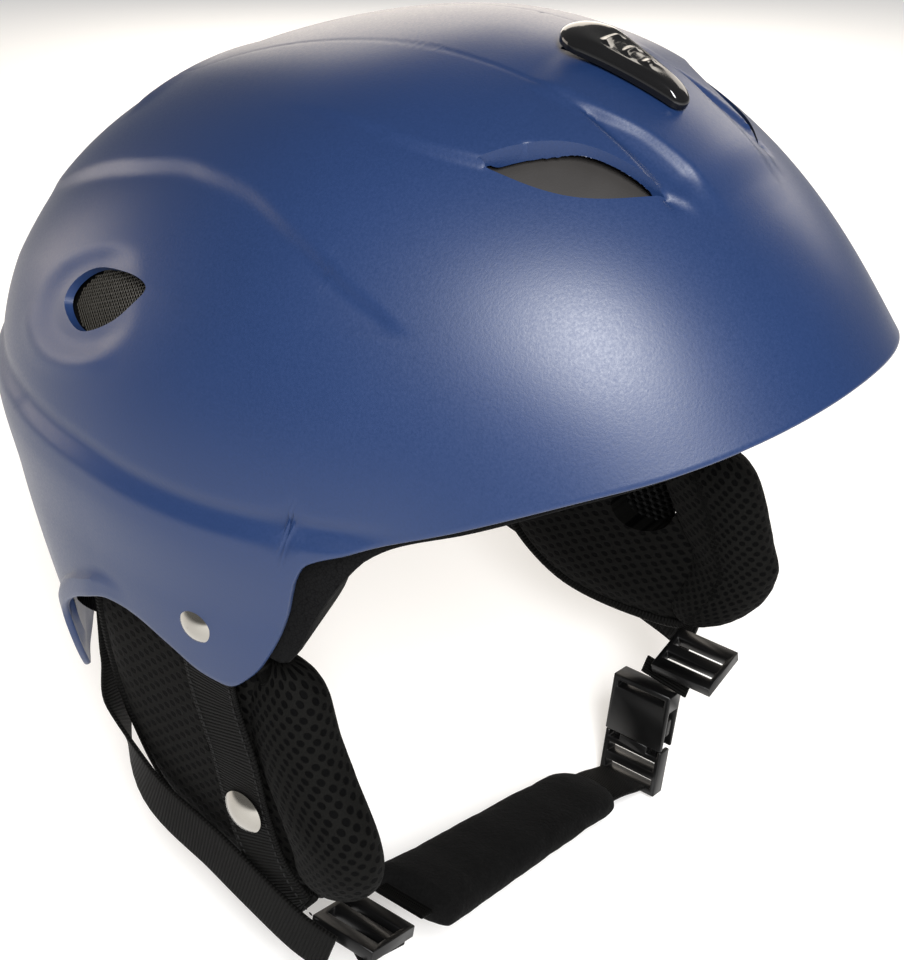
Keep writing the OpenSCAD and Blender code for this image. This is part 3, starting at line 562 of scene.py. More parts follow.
PAINT, FOAM, KNIT, WEBBING, FLEECE, METAL, THREAD = (shell_paint(), foam(), knit(), webbing(), fleece(),
                                                     metal(), thread())
PANEL_MESH = spacer_mesh("spacer_mesh_panel", 2.7, 2.2, 0.5)
ROLL_MESH = spacer_mesh("spacer_mesh_roll", 2.3, 2.1, 0.45)
GLOSS = moulded("gloss_black", (0.004, 0.004, 0.0045), 0.09, 0.02)
PLASTIC = moulded("satin_black_plastic", (0.003, 0.003, 0.0031), 0.36, 0.3, 0.25)
SHUTTER = moulded("shutter_plate", (0.02, 0.018, 0.017), 0.55)
NET = moulded("mesh_yarn", (0.004, 0.004, 0.004), 0.6, 0.3, 0.1)
FINE_NET = moulded("fine_vent_yarn", (0.03, 0.027, 0.021), 0.5)


# ---------- shell, liner and the vents ----------
def dome_object(name, m, rows, inner_rows, rim, outer, inner, edge, thick):
    """A dome between two radius functions, with a rounded rim of radius edge."""
    a = np.arange(m) * 360 / m
    low = rim(a)
    lift = edge / outer(a, low, low) * 180 / np.pi
    rings = [at(a, 90 + (low + lift - 90) * j / rows, outer(a, 90 + (low + lift - 90) * j / rows, low))
             for j in range(1, rows + 1)]
    turns = np.radians(np.linspace(0, 90, 5))[1:]
    corners = [(1 - np.sin(t), edge * (1 - np.cos(t))) for t in turns]
    corners += [(1 - np.cos(t), thick - edge * (1 - np.sin(t))) for t in turns]
    rings += [at(a, low + lift * up, outer(a, low + lift, low) - deep) for up, deep in corners]
    for j in range(1, inner_rows):
        e = low + lift + (90 - low - lift) * j / inner_rows
        rings.append(at(a, e, inner(a, e, low)))
    top = np.array([0.0]), np.array([90.0])
    tips = np.vstack([at(*top, outer(*top, np.array([0.0]))), at(*top, inner(*top, np.array([0.0])))])
    return ring_stack(name, rings, tips, 50)


def front_vent_cutter(side, grow, low, high):
    d = VENT_B - VENT_A
    m = unit([-d[1], d[0]])
    steps = 72
    s = np.concatenate([np.arange(steps) / steps, 1 - np.arange(steps) / steps])
    q = np.repeat([1, -1], steps)
    plan = VENT_A + d * s[:, None] + m * (q * (VENT_BULGE + grow) * sind(180 * s))[:, None]
    plan[:, 0] *= side
    return ring_stack("cutter", [np.column_stack([plan, np.full(len(plan), z)]) for z in (low, high)])


def rear_vent_cutter(side, scale, low, high):
    edge = spline(REAR_VENT_EDGE, 8, True) * scale
    b, e = vent_direction(edge[:, 0], edge[:, 1])
    return ring_stack("cutter", [at(b, e, r) * [side, 1, 1] for r in (low, high)])


def make_shell():
    shell = dome_object("helmet_shell", 480, 170, 150, shell_rim, shell_r,
                        lambda a, e, rim: shell_r(a, e, rim) - SHELL_T, 1.0, SHELL_T)
    slot = bpy.data.objects.new("cutter", bpy.data.meshes.new("cutter"))
    bpy.context.scene.collection.objects.link(slot)
    bm = bmesh.new()
    bmesh.ops.create_cube(bm, size=1, matrix=Matrix.Translation(Vector((0, -39, 106)) * MM)
                          @ Matrix.Rotation(math.radians(18), 4, "X") @ Matrix.Diagonal((0.0084, 0.026, 0.03, 1)))
    bm.to_mesh(slot.data)
    bm.free()
    cut(shell, *[front_vent_cutter(s, 0, 70, 130) for s in (1, -1)],
        *[rear_vent_cutter(s, 1, 80, 150) for s in (1, -1)], slot)
    shade(shell, 34)
    finish_piece(shell, "helmet", PAINT, "shell_paint", "outer_shell")


def liner_outer(a, e, rim):
    b = away(a)
    pocket = soft((88 - b) / 3) * soft((e - 45) / 3) * soft((86 - e) / 3)
    channel = soft((b - 101) / 2) * soft((139 - b) / 2) * soft((e - 10) / 2) * soft((40 - e) / 2)
    return dome_r(a, e) - LINER_GAP - 7 * pocket - 1.8 * channel


def make_liner():
    around, rows = 240, 60
    a = np.arange(around) * 360 / around
    low = liner_rim(a)
    rings = []
    for j in range(1, rows + 1):
        e = 90 + (low - 90) * j / rows
        rings.append(at(a, e, liner_outer(a, e, low)))
    outer, inner = liner_outer(a, low, low), cavity_r(a, low)
    for t in (0.03, 0.12, 0.5, 0.88, 0.97):
        drop = 1.2 * round_end(min(t, 1 - t), 0.12)
        rings.append(at(a, low - drop * 0.5, outer + (inner - outer) * t))
    for j in range(rows):
        e = low + (90 - low) * j / rows
        rings.append(at(a, e, cavity_r(a, e)))
    top = np.array([0.0]), np.array([90.0])
    tips = np.vstack([at(*top, liner_outer(*top, 0)), at(*top, cavity_r(*top))])
    liner = ring_stack("foam_liner", rings, tips, 50)
    cut(liner, *[front_vent_cutter(s, 0.5, 40, 130) for s in (1, -1)],
        *[rear_vent_cutter(s, 0.85, 60, 150) for s in (1, -1)])
    shade(liner, 45)
    finish_piece(liner, "helmet", FOAM, "black_foam", "eps_liner")


def curved_plate(name, a0, a1, m, n, low, high, outer, thick, edge=0.12, seams=()):
    """A pad or plate on the dome: flat against radius outer, thick at its middle, rounded at its edges."""
    s, t = np.meshgrid(np.linspace(0, 1, m), np.linspace(0, 1, n), indexing="ij")
    s, t = (0.5 - 0.5 * np.cos(np.pi * x) * (1 - 0.35 * np.sin(np.pi * x)) for x in (s, t))
    a = a0 + (a1 - a0) * s
    e = low(a) + (high(a) - low(a)) * t
    swell = round_end(np.minimum(s, 1 - s), edge) * round_end(np.minimum(t, 1 - t), edge)
    for k in seams:
        swell = swell * (1 - 0.55 * np.exp(-((s - k) / 0.012)**2))
    r = outer(a, e)
    front, back = at(a, e, r - thick * swell), at(a, e, r)
    index = np.arange(m * n).reshape(m, n)
    quads = np.stack([index[:-1, :-1], index[1:, :-1], index[1:, 1:], index[:-1, 1:]], -1).reshape(-1, 4)
    loop = np.concatenate([index[:, 0], index[-1, 1:], index[-2::-1, -1], index[0, -2:0:-1]])
    faces = quads.tolist() + (quads[:, ::-1] + m * n).tolist()
    faces += [[p, q, q + m * n, p + m * n] for p, q in zip(loop, np.roll(loop, -1))]
    return new_object(name, np.vstack([front.reshape(-1, 3), back.reshape(-1, 3)]), faces, 60)


def make_comfort_pads():
    wall = lambda a, e: cavity_r(a, e) - PAD_GAP
    thick = COMFORT_T - PAD_GAP
    brow = curved_plate("brow_comfort_pad", -50, 50, 120, 24, lambda a: liner_rim(a) + 1.5,
                        lambda a: liner_rim(a) + 17, wall, thick, 0.2, (0.2, 0.4, 0.6, 0.8))
    finish_piece(brow, "helmet", KNIT, "lining_fabric", "brow_pad")
    nape = curved_plate("nape_comfort_pad", 126, 234, 130, 36, lambda a: np.maximum(liner_rim(a) + 4, -24),
                        lambda a: 12 + 0 * a, wall, thick, 0.12, (0.25, 0.5, 0.75))
    finish_piece(nape, "helmet", KNIT, "lining_fabric", "nape_pad")
    for side, turn in (("right", -1), ("left", 1)):
        temple = curved_plate("temple_comfort_pad_" + side, 56 * turn, 116 * turn, 70, 36,
                              lambda a: np.maximum(liner_rim(a) + 2, -14), lambda a: 30 + 0 * a, wall, thick,
                              0.14, (0.5,))
        finish_piece(temple, "helmet", KNIT, "lining_fabric", "temple_pad_" + side)
    a = np.arange(96) * 360 / 96
    low = 58
    rings = []
    for k, depth in [(k, 0) for k in np.linspace(0.02, 1, 20)] + [(k, thick) for k in np.linspace(1, 0.02, 40)[1:]]:
        e = low + (90 - low) * (1 - k)
        rings.append(at(a, e, wall(a, e) - depth * round_end(1 - k, 0.2)))
    reach = CAVITY_H * 0.985
    tip = at(np.zeros(1), np.full(1, 90.0), 1.0) * reach
    tips = np.vstack([tip * (reach - PAD_GAP) / reach, tip * (1 - thick / 90)])
    crown = ring_stack("crown_comfort_pad", rings, tips, 60)
    finish_piece(crown, "helmet", KNIT, "lining_fabric", "crown_pad")


def net(name, inside, place, pitch, wire, span):
    """An open hexagonal net of yarn: inside(u, v) says where it is, and place(u, v) puts it in space."""
    points, faces = {}, []
    rows = int(span / (pitch * 0.866)) + 1
    for i in range(-rows, rows + 1):
        for j in range(-rows, rows + 1):
            cu, cv = (j + 0.5 * (i % 2)) * pitch, i * pitch * 0.866
            if not inside(cu, cv):
                continue
            face = []
            for k in range(6):
                u, v = cu + pitch / 1.732 * sind(60 * k), cv + pitch / 1.732 * cosd(60 * k)
                key = (round(u * 20), round(v * 20))
                points.setdefault(key, (len(points), u, v))
                face.append(points[key][0])
            faces.append(face)
    flat = np.array([[u, v] for _, u, v in points.values()])
    obj = new_object(name, place(flat[:, 0], flat[:, 1]), faces)
    tool = obj.modifiers.new("net", "WIREFRAME")
    tool.thickness, tool.use_even_offset = wire * MM, False
    apply_modifiers(obj)
    shade(obj, 60)
    return obj


def in_outline(outline, u, v):
    x, y = outline[:, 0], outline[:, 1]
    x2, y2 = np.roll(x, -1), np.roll(y, -1)
    crosses = ((y > v) != (y2 > v)) & (u < (x2 - x) * (v - y) / (y2 - y + 1e-12) + x)
    return crosses.sum() % 2 == 1


def make_vents():
    edge = spline(REAR_VENT_EDGE, 6, True) * 1.08
    for side, turn in (("right", -1), ("left", 1)):
        def place(u, v):
            b, e = vent_direction(u, v)
            return at(b, e, dome_r(b, e) - 6.4) * [turn, 1, 1]
        mesh = net("rear_vent_net_" + side, lambda u, v: in_outline(edge, u, v), place, 1.15, 0.4, 25)
        finish_piece(mesh, "helmet", FINE_NET, "vent_mesh", "rear_vent_mesh_" + side)
        line = [[12, 50], [19, 51.5], [27, 54.3], [35, 56.6], [45, 58.2], [62, 59.5]]
        plate = curved_plate("vent_shutter_" + side, 13 * turn, 62 * turn, 80, 20,
                             lambda a: keyed(line, away(a)) - 5.5, lambda a: keyed(line, away(a)) + 6,
                             lambda a, e: dome_r(a, e) - 5.0, -0.8, 0.05)
        finish_piece(plate, "vent_slider", SHUTTER, "shutter_grey", "shutter_" + side)
    paint_node("vent_carriage", PLASTIC)
    paint_node("knob_screws", METAL)


def slider_frame():
    """The crown's radius from the slide's axis, and the turn about that axis at which the knob stands."""
    low = shell_rim(np.zeros(1))
    p = at(np.zeros(1), np.full(1, 67.0), shell_r(np.zeros(1), np.full(1, 67.0), low))[0]
    radius = math.hypot(p[1] - SLIDE_AXIS[0], p[2] - SLIDE_AXIS[1])
    turn = math.atan((SLIDE_AXIS[0] - KNOB_Y) / 133)
    return radius, turn


def make_knob():
    radius, turn = slider_frame()
    wide, nose = KNOB_W / 2, 3.5
    rear, front = KNOB_L / 2 - wide, nose - KNOB_L / 2
    lean = math.degrees(math.asin((wide - nose) / (rear - front)))
    arc_rear = [(wide * cosd(t), rear + wide * sind(t)) for t in np.linspace(-lean, 180 + lean, 60)]
    arc_front = [(nose * cosd(t), front + nose * sind(t)) for t in np.linspace(180 + lean, 360 - lean, 24)]
    edge_r, edge_l = np.array([arc_front[-1], arc_rear[0]]), np.array([arc_rear[-1], arc_front[0]])
    fill = np.linspace(0, 1, 22)[1:-1, None]
    outline = np.vstack([arc_rear, edge_l[0] + (edge_l[1] - edge_l[0]) * fill, arc_front,
                         edge_r[0] + (edge_r[1] - edge_r[0]) * fill])
    centre = np.array([0, 2.0])
    foot, rings = 0.75, []
    shoulder = 1 - 0.3 * (1 - cosd(np.linspace(0, 90, 9)[1:]))
    for i, k in enumerate(np.concatenate([[1.0, 1.0], shoulder, np.linspace(0.685, 0.02, 60)])):
        p = centre + (outline - centre) * k
        inset = (1 - k) * 9
        height = (KNOB_H - 1.2) * (0.35 + 0.65 * round_end(inset, 3.2)) + round_end(inset, 9) if i else 0.0
        ribs = 0
        for at_y, half in ((-5.5, 2.6), (0.5, 3.6), (6.5, 4.4)):
            across = soft((half - np.abs(p[:, 0])) / 1.6)
            ribs = ribs + 0.7 * across * np.exp(-((p[:, 1] - at_y + 0.05 * p[:, 0]**2) / 1.0)**2)
        hollow = -0.5 * soft((1 - np.hypot(p[:, 0] / 6.5, (p[:, 1] - 1) / 13)) / 0.7)
        lift = height + (ribs + hollow) * (k < 0.97)
        along = p[:, 1] / radius
        r = radius + foot + lift
        rings.append(np.column_stack([p[:, 0], r * np.sin(along), r * np.cos(along)]))
    rings = np.array(rings)
    spin = np.array([[1, 0, 0], [0, math.cos(turn), -math.sin(turn)], [0, math.sin(turn), math.cos(turn)]])
    rings = rings @ spin.T + [0, SLIDE_AXIS[0], SLIDE_AXIS[1]]
    cap = ring_stack("vent_knob_cap", rings, np.vstack([rings[0].mean(0), rings[-1].mean(0)]), 55)
    half, long = 3.6, 5.8
    corners = ((-half, -long), (half, -long), (half, long), (-half, long))
    stem = [[x, y, z] for z in (radius - 8.2, radius + 1.2) for x, y in corners]
    stem = np.array(stem) @ spin.T + [0, SLIDE_AXIS[0], SLIDE_AXIS[1]]
    block = new_object("stem", stem, [[0, 1, 2, 3], [4, 7, 6, 5], [0, 4, 5, 1], [1, 5, 6, 2], [2, 6, 7, 3],
                                      [3, 7, 4, 0]])
    knob = join("vent_knob_body", [cap, block])
    shade(knob, 50)
    finish_piece(knob, "vent_slider", GLOSS, "gloss_black", "vent_knob")


# ---------- soft pieces ----------
def hang(y, z, side):
    """Where a pad's point hangs: the left pad is stretched forward, most of all at its roll."""
    y, z = np.asarray(y, float), np.asarray(z, float)
    lead = (LEAD_LOW + (LEAD_TOP - LEAD_LOW) * soft((z + 125) / 60)) * (1 - 0.8 * np.clip((y + 5) / 75, 0, 1))
    return y - lead if side == "left" else y


def sag(z, side):
    """The right pad hangs lower, towards its lower edge."""
    return z if side == "left" else z - PAD_DROP * np.clip((HINGE_Z - z) / 85, 0, 1)


def pad_face(z):
    """How far out from the middle a pad's outer face is at height z."""
    return 105.2 + 0.06 * z


def puff(obj, voxel, pressure=4.0, cap=2.5, frames=20):
    """Stuffs a closed cover: a voxel skin, blown up as cloth, with no point moving further than cap."""
    tool = obj.modifiers.new("skin", "REMESH")
    tool.mode, tool.voxel_size = "VOXEL", voxel * MM
    apply_modifiers(obj)
    before = coords(obj)
    cloth = obj.modifiers.new("cloth", "CLOTH")
    cloth.settings.quality = 5
    cloth.settings.mass = 0.25
    cloth.settings.use_pressure = True
    cloth.settings.uniform_pressure_force = pressure
    cloth.settings.effector_weights.gravity = 0
    cloth.point_cache.frame_start, cloth.point_cache.frame_end = 1, frames
    for f in range(1, frames + 1):
        bpy.context.scene.frame_set(f)
    apply_modifiers(obj)
    bpy.context.scene.frame_set(1)
    move = coords(obj) - before
    length = np.linalg.norm(move, axis=1, keepdims=True)
    set_coords(obj, before + move * np.minimum(1, cap / np.maximum(length, 1e-9)))
    subdivide(obj)
    shade(obj, 80)
    return obj


ROLL_Y = [[-129, -12], [-120, -16], [-108, -19.5], [-97, -17.5], [-85, -9.5], [-70, -1.5], [-46, 4]]
ROLL_HALF = [[-129, 12], [-112, 16.5], [-96, ROLL_W / 2], [-60, ROLL_W / 2 - 1], [-46, 15]]
ROLL_X = [[-129, -6.5], [-112, -5], [-98, -4.5], [-84, -7], [-70, -9], [-55, -11]]
PANEL = [[4, -50], [14, -43.5], [34, -41], [58, -41], [71.5, -49], [73, -63], [71, -84], [66, -101], [56, -119],
         [36, -132], [8, -133], [-12, -127], [-14, -108], [-6, -85]]
QUILT = ((0.3, -1), (0.6, -1), (0.86, -0.97), (0.93, -0.72), (0.965, -0.45), (1, -0.3), (1, 0.3), (0.965, 0.45),
         (0.93, 0.72), (0.86, 0.97), (0.6, 1), (0.3, 1))


def ear_roll():
    """The thick front roll, before it hangs: the right one, standing on its own axis."""
    rings, n, rows, low, high = [], 40, 40, -128.6, HINGE_Z - 1.9
    for i in range(rows + 1):
        z = low + (high - low) * (0.5 - 0.5 * cosd(178 * i / rows + 1))
        w = keyed(ROLL_HALF, z) * round_end(np.array(min(z - low, high - z)), 12) * 0.97
        q = np.arange(n) * 360 / n
        x = pad_face(z) + keyed(ROLL_X, z) + w * ROLL_T / ROLL_W * cosd(q)
        rings.append(np.column_stack([-x, keyed(ROLL_Y, z) - w * sind(q), np.full(n, z)]))
    roll = puff(ring_stack("ear_roll", rings, None, 80), 3.2, 4, 1.0)
    p = coords(roll)
    turn = np.arctan2(p[:, 1] - keyed(ROLL_Y, p[:, 2]), -p[:, 0] - pad_face(p[:, 2]) - keyed(ROLL_X, p[:, 2]))
    return weave(roll, np.column_stack([turn * 14, p[:, 2]]))


def ear_panel():
    """The flat spacer-mesh pad: a quilted edge, a soft middle and a hole over the ear."""
    outline = spline(PANEL, 10, True)
    centre = outline.mean(0)
    rings = []
    for k, t in QUILT:
        p = centre + (outline - centre) * k
        rings.append(np.column_stack([-(pad_face(p[:, 1]) - PANEL_T / 2 - t * (PANEL_T / 2 - 0.5)), p]))
    panel = puff(ring_stack("ear_panel", rings, None, 80), 3.2, 3, 0.8)
    cutters = []
    for (y, z), radius, half_slot, n, ends in ((WINDOW, 9.7, 4, 48, (-120, -70)),
                                               (SNAP, 5.6, 0, 24, (-110, -(pad_face(SNAP[1]) - 1.2)))):
        q = np.arange(n) * 360 / n
        rim = np.column_stack([y + radius * cosd(q), z + radius * sind(q) + half_slot * np.sign(sind(q))])
        cutters.append(ring_stack("cutter", [np.column_stack([np.full(n, x), rim]) for x in ends]))
    cut(panel, *cutters)
    p = coords(panel)
    weave(panel, p[:, 1:])
    shade(panel, 60)
    return panel


def tube(name, path, radius, n=8, closed=False, flat=1.0, face=(1, 0, 0)):
    """A bead along a path; flat squeezes it along face."""
    path = np.asarray(path, float)
    if closed:
        tangent = unit(np.roll(path, -1, 0) - np.roll(path, 1, 0))
    else:
        tangent = unit(np.gradient(path, axis=0))
    out = unit(np.cross(tangent, np.broadcast_to(face, path.shape)))
    up = unit(np.cross(out, tangent))
    q = np.arange(n) * 360 / n
    cos_q, sin_q = cosd(q)[None, :, None], sind(q)[None, :, None]
    rings = path[:, None] + radius * (out[:, None] * cos_q + up[:, None] * sin_q * flat)
    if not closed:
        return ring_stack(name, rings, np.vstack([path[0] - tangent[0] * radius * 0.6,
                                                  path[-1] + tangent[-1] * radius * 0.6]), 60)
    rows = len(path)
    index = np.arange(rows * n).reshape(rows, n)
    around, ahead = np.roll(index, -1, 1), np.roll(index, -1, 0)
    faces = np.stack([index, around, np.roll(around, -1, 0), ahead], -1).reshape(-1, 4)
    return new_object(name, rings.reshape(-1, 3), faces.tolist(), 60)


def panel_binding():
    """The woven tape that closes the panel's edge."""
    edge = spline(PANEL, 8, True)
    path = np.column_stack([-(pad_face(edge[:, 1]) - PANEL_T / 2), edge])
    obj = tube("ear_binding", path, 2.2, 10, True, 1.35)
    d = np.concatenate([[0], np.cumsum(np.linalg.norm(np.diff(path, axis=0), axis=1))])
    return weave(obj, np.column_stack([np.repeat(d, 10), np.tile(np.arange(10), len(path))]))


def hung(p, side):
    out = p.copy()
    out[:, 1] = hang(p[:, 1], p[:, 2], side)
    out[:, 2] = sag(p[:, 2], side)
    return out


def window_net():
    x = -(pad_face(WINDOW[1]) - 2.5)
    inside = lambda u, v: math.hypot(u, max(abs(v) - 4, 0)) < 10.2
    place = lambda u, v: np.column_stack([np.full(len(u), x), WINDOW[0] + u, WINDOW[1] + v])
    return net("ear_window_net", inside, place, 2.7, 1.15, 20)


def make_ear_pads():
    pieces = [(ear_panel(), "ear_panel_cover", "ear_panel", PANEL_MESH, "spacer_fabric", True),
              (ear_roll(), "ear_roll_cover", "ear_roll", ROLL_MESH, "spacer_fabric", True),
              (window_net(), "ear_window_net", "ear_window", NET, "vent_mesh", False),
              (panel_binding(), "ear_binding", None, WEBBING, "webbing", False)]
    for right, name, node, material, slot, soft_piece in pieces:
        left = mirrored(right, name + "_left", lambda p: hung(p, "left"))
        set_coords(right, hung(coords(right), "right"))
        right.name = name + "_right"
        for side, obj in (("right", right), ("left", left)):
            finish_piece(obj, "ear_pad_" + side, material, slot, *([node + "_" + side] if node else []))


# ---------- webbing ----------
def strap_object(name, path, width, thick, steps=8, edge=0.5):
    """Flat webbing along [x, y, z, and the way its face looks], with rounded selvedges."""
    k = spline(path, steps)
    p, face = k[:, :3], k[:, 3:]
    t = unit(np.gradient(p, axis=0))
    w = unit(np.cross(t, face))
    h = np.cross(w, t)
    half, deep = width / 2, thick / 2
    flat = [(s * (half - edge), deep) for s in np.linspace(-1, 1, 9)]
    selvedge = [(half - edge + edge * cosd(q), deep * sind(q)) for q in (60, 20, -20, -60)]
    section = np.array(flat + selvedge)
    section = np.vstack([section, -section])
    rings = p[:, None] + w[:, None] * section[None, :, :1] + h[:, None] * section[None, :, 1:]
    obj = ring_stack(name, rings, None, 50)
    d = np.concatenate([[0], np.cumsum(np.linalg.norm(np.diff(p, axis=0), axis=1))])
    uv = np.stack(np.broadcast_arrays(d[:, None], section[None, :, 0]), -1).reshape(-1, 2)
    return weave(obj, uv)


def stitch_line(name, points, face, pitch=2.6, length=1.7, radius=0.28):
    """A row of thread stitches along a path, standing on the cloth that looks along face."""
    p = np.asarray(points, float)
    d = np.concatenate([[0], np.cumsum(np.linalg.norm(np.diff(p, axis=0), axis=1))])
    face = np.broadcast_to(np.asarray(face, float), p.shape)
    q = np.arange(6) * 60
    stitches = []
    for s in np.arange(pitch / 2, d[-1] - length / 2, pitch):
        middle = np.array([np.interp(s, d, p[:, i]) for i in range(3)])
        ahead = np.array([np.interp(s + 0.5, d, p[:, i]) for i in range(3)])
        up = unit([np.interp(s, d, face[:, i]) for i in range(3)])
        along = unit(ahead - middle)
        out = unit(np.cross(along, up))
        up = np.cross(out, along)
        spoke = out * cosd(q)[:, None] + up * sind(q)[:, None]
        stitches.append([middle + along * length / 2 * u + radius * math.sqrt(1 - u * u) * spoke
                         for u in (-0.92, -0.5, 0, 0.5, 0.92)])
    verts, faces = [], []
    for rings in stitches:
        base = len(verts)
        verts += np.array(rings).reshape(-1, 3).tolist()
        for i in range(4):
            near, far = base + i * 6, base + (i + 1) * 6
            faces += [[near + j, near + (j + 1) % 6, far + (j + 1) % 6, far + j] for j in range(6)]
        faces += [[base + j for j in range(6)][::-1], [base + 24 + j for j in range(6)]]
    return new_object(name, verts, faces, 70)


def mirror_x(side, points):
    out = np.array(points, float)
    if side == "right":
        out[:, 0] *= -1
        if out.shape[1] > 3:
            out[:, 3] *= -1
    return out


RIVET_LOW, RIVET_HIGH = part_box("shell_rivet_left")
RIVET = np.array([(RIVET_LOW[i] + RIVET_HIGH[i]) / 2 for i in range(3)]) / MM
FACE_X = RIVET_HIGH[0] / MM - 2.4
WALL_X = FACE_X - 3.95
SNAP_X = pad_face(SNAP[1])


def front_path(side):
    left, s, n = side == "left", SNAP_X + 2.4, float(hang(SNAP[0], SNAP[1], side))
    return [[WALL_X, RIVET[1], RIVET[2] + 9, 1, -0.07, 0], [WALL_X, RIVET[1], RIVET[2], 1, -0.07, 0],
            [WALL_X - 0.6, 12 if left else 16, -42, 1, -0.05, 0], [104.5, 7 if left else 17.5, -62, 1, 0, 0],
            [103.4, 0 if left else 12.5, -84, 1, 0, 0], [s, n, SNAP[1], 1, 0, 0],
            [101, -12 if left else 5, -122 if left else -123, 1, 0, 0],
            [99, -18 if left else -3, -132 if left else -136, 1, 0, 0],
            [97, -23 if left else -7, -135 if left else -139.5, 1, 0, 0]]


def rear_path(side):
    left = side == "left"
    e = np.array([-27.0])
    s = at(np.array([141.0]), e, dome_r(np.array([141.0]), e) - LINER_GAP + 2.2)[0]
    return [[s[0], s[1], s[2], 0.7, 0.7, 0], [86.2, 85.4, -68.5, 0.5, 0.87, 0], [87.5, 78.5, -84, 0.1, 1, 0],
            [93.5, 73.5 if left else 76, -102, 0.45, 0.9, 0],
            [101.2, 53 if left else 56, -119 if left else -121, 1, 0.2, 0],
            [102.3, 22 if left else 26, -127 if left else -131, 1, 0, 0],
            [103, 2 if left else 6, -134 if left else -138, 1, 0, 0],
            [102.6, -16 if left else -9, -139 if left else -144, 1, 0, 0],
            [100.6, -27 if left else -20, -142 if left else -148, 1, 0, 0]]


def make_webbing():
    for side in SIDES:
        front, rear = mirror_x(side, front_path(side)), mirror_x(side, rear_path(side))
        finish_piece(strap_object("front_strap_" + side, front, WEB_W, WEB_T), "helmet", WEBBING, "webbing",
                     "front_webbing_" + side)
        finish_piece(strap_object("rear_strap_" + side, rear, WEB_W, WEB_T), "helmet", WEBBING, "webbing",
                     "rear_webbing_" + side)
        turn = -1 if side == "right" else 1
        k = spline(front, 8)
        seams = []
        for offset in (-WEB_W / 2 + 1.6, WEB_W / 2 - 1.6):
            line = k[20:, :3] + [turn * (WEB_T / 2 + 0.12), offset, 0]
            seams.append(stitch_line("seam", line, [turn, 0, 0]))
        seam = join("front_strap_seam_" + side, seams)
        finish_piece(seam, "helmet", THREAD, "webbing")
        for part in ("shell_rivet_", "rivet_washer_", "snap_cap_", "snap_stud_"):
            paint_node(part + side, METAL)
            shade(NODE[part + side], 30)
        paint_node("rear_anchor_" + side, PLASTIC)
    tail = copy_of("webbing_tail", "strap_tail", 0.3)
    weave(tail, coords(tail)[:, :2])
    finish_piece(tail, "helmet", WEBBING, "webbing", "webbing_tail")
    loop = [[76.8, -29, -148.4, 1, 0, 0], [77.8, -29.5, -145.4, 1, 0, 0], [79, -30, -142.2, 1, 0, 0]]
    finish_piece(strap_object("buckle_strap", loop, WEB_W, WEB_T, 4), "helmet", WEBBING, "webbing", "buckle_webbing")


CHIN = [[-71, -148], [-66, -149.6], [-50, -154], [-20, -161.5], [20, -172], [44, -179.5], [56, -185], [62.5, -188]]
PIVOT = np.array([-71, -23, -148])


def make_chin_strap():
    path = np.array([[x, PIVOT[1], z, 0, 0, 1] for x, z in CHIN], float)
    finish_piece(strap_object("chin_strap_webbing", path, WEB_W, WEB_T), "chin_strap", WEBBING, "webbing",
                 "chin_webbing")
    steps = 12
    k = spline(path[:, :3], steps)
    first, last = steps, steps * 5
    t = unit(np.gradient(k, axis=0))
    q = np.arange(48) * 360 / 48
    rings = []
    for i in range(first, last + 1):
        g = (i - first) / (last - first)
        end = round_end(np.array((1 - g) * 60), 9)
        start = 0.86 + 0.14 * round_end(np.array(g * 100), 3)
        w = CHIN_W / 2 * (1 - 0.22 * g * g) * end * start
        h = np.cross(t[i], [0, 1, 0])
        lump = 1 + 0.03 * np.sin(i * 0.9) + 0.02 * np.sin(i * 0.37 + 1)
        section_w = np.sign(cosd(q)) * np.abs(cosd(q))**0.8
        section_h = np.sign(sind(q)) * np.abs(sind(q))**0.8
        rings.append(k[i] + np.outer(w * section_w, [0, 1, 0])
                     + np.outer((6.2 - 1.6 * g) * end * lump * section_h, h))
    sleeve = ring_stack("chin_pad_sleeve", rings, None, 80)
    puff(sleeve, 2.4, 3, 0.8)
    finish_piece(sleeve, "chin_strap", FLEECE, "fleece", "chin_pad")


def make_hardware():
    for node, name, body in (("strap_adjuster_right", "right_adjuster", "helmet"),
                             ("strap_adjuster_left", "left_adjuster", "helmet"),
                             ("buckle_female", "buckle_socket", "helmet"),
                             ("buckle_male", "buckle_plug", "chin_strap"),
                             ("buckle_prong_front", "buckle_prong_a", "prong_front"),
                             ("buckle_prong_rear", "buckle_prong_b", "prong_rear")):
        finish_piece(copy_of(node, name, 0.5, 3), body, PLASTIC, "black_plastic", node)


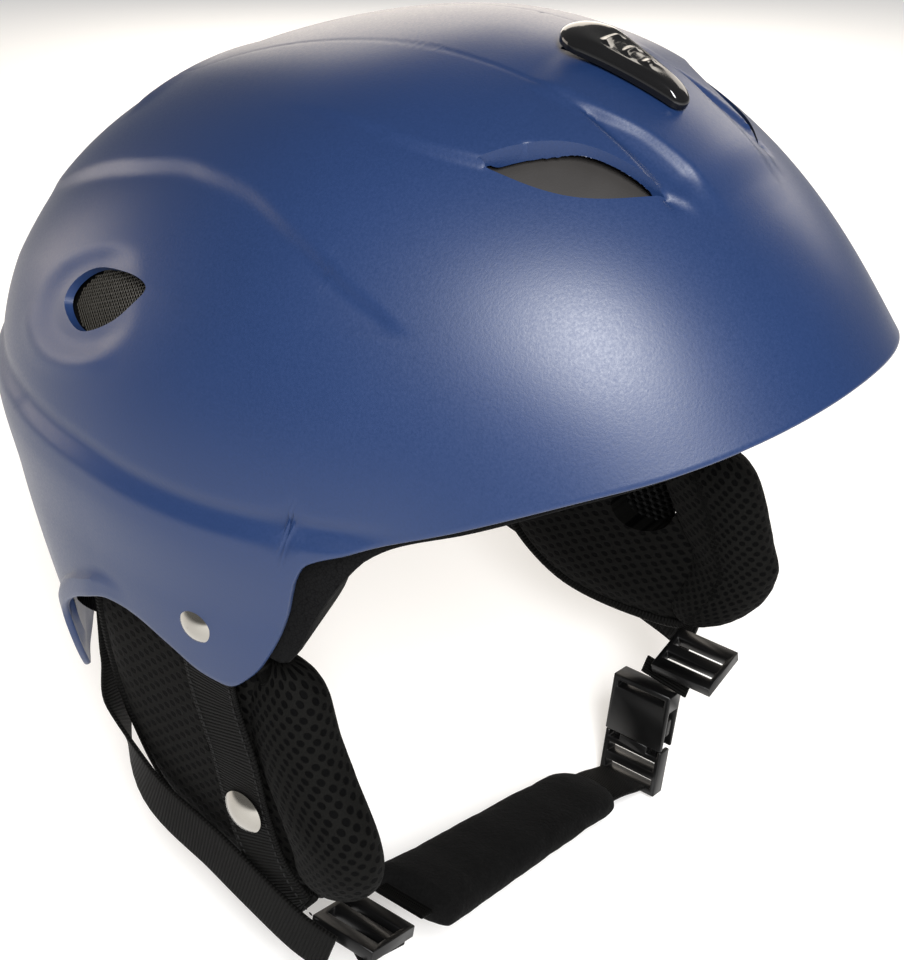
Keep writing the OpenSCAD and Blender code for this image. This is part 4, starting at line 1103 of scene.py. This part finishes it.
# ---------- camera, lights and floor ----------
CAMERA_AT, CAMERA_TO, CAMERA_LENS = (-371.1, -281.8, 257.9), (-46, -25, 0), 64.6
GLOW = 0.22


def look(obj, place, target):
    obj.location = Vector(place) * MM
    obj.rotation_euler = (Vector(target) - Vector(place)).to_track_quat("-Z", "Y").to_euler()
    bpy.context.scene.collection.objects.link(obj)
    return obj


def area_light(name, place, target, size, power, color=(1, 1, 1)):
    light = bpy.data.lights.new(name, "AREA")
    light.shape, light.size, light.size_y = "RECTANGLE", size[0], size[1]
    light.energy, light.color = power, color
    return look(bpy.data.objects.new(name, light), place, target)


def make_stage():
    camera = bpy.data.cameras.new("camera")
    camera.lens, camera.clip_end = CAMERA_LENS, 50
    bpy.context.scene.camera = look(bpy.data.objects.new("camera", camera), CAMERA_AT, CAMERA_TO)
    bpy.ops.mesh.primitive_plane_add(size=12, location=(0, 0, CAD_BOX[0][2] - 0.002))
    floor = bpy.context.object
    floor.name = "floor"
    s = Shader("pale_floor", (0.86, 0.86, 0.86), 0.9)
    s.color(s.noise(s.place(), 3, 2), (0.84, 0.84, 0.84), (0.88, 0.88, 0.88))
    s.bsdf.inputs["Emission Color"].default_value = (1, 1, 1, 1)
    s.bsdf.inputs["Emission Strength"].default_value = GLOW
    floor.data.materials.append(s.mat)
    world = bpy.data.worlds.new("studio")
    world.use_nodes = True
    world.node_tree.nodes["Background"].inputs[0].default_value = (1.0, 0.98, 0.95, 1)
    world.node_tree.nodes["Background"].inputs[1].default_value = GLOW
    bpy.context.scene.world = world
    bpy.context.scene.view_settings.view_transform = "Standard"
    area_light("key", (-660, -690, 760), (0, 0, 20), (0.3, 0.5), 25)
    area_light("rear", (750, 620, 260), (0, 20, 20), (0.6, 0.6), 4, (1, 0.9, 0.78))
    area_light("left", (900, -60, 440), (0, 0, 20), (0.5, 0.5), 3.5, (1, 0.92, 0.82))
    area_light("back", (-260, 900, 120), (0, 40, 0), (0.6, 0.3), 2, (1, 0.88, 0.76))


make_shell()
make_liner()
make_comfort_pads()
make_vents()
make_knob()
make_ear_pads()
make_webbing()
make_chin_strap()
make_hardware()
make_stage()
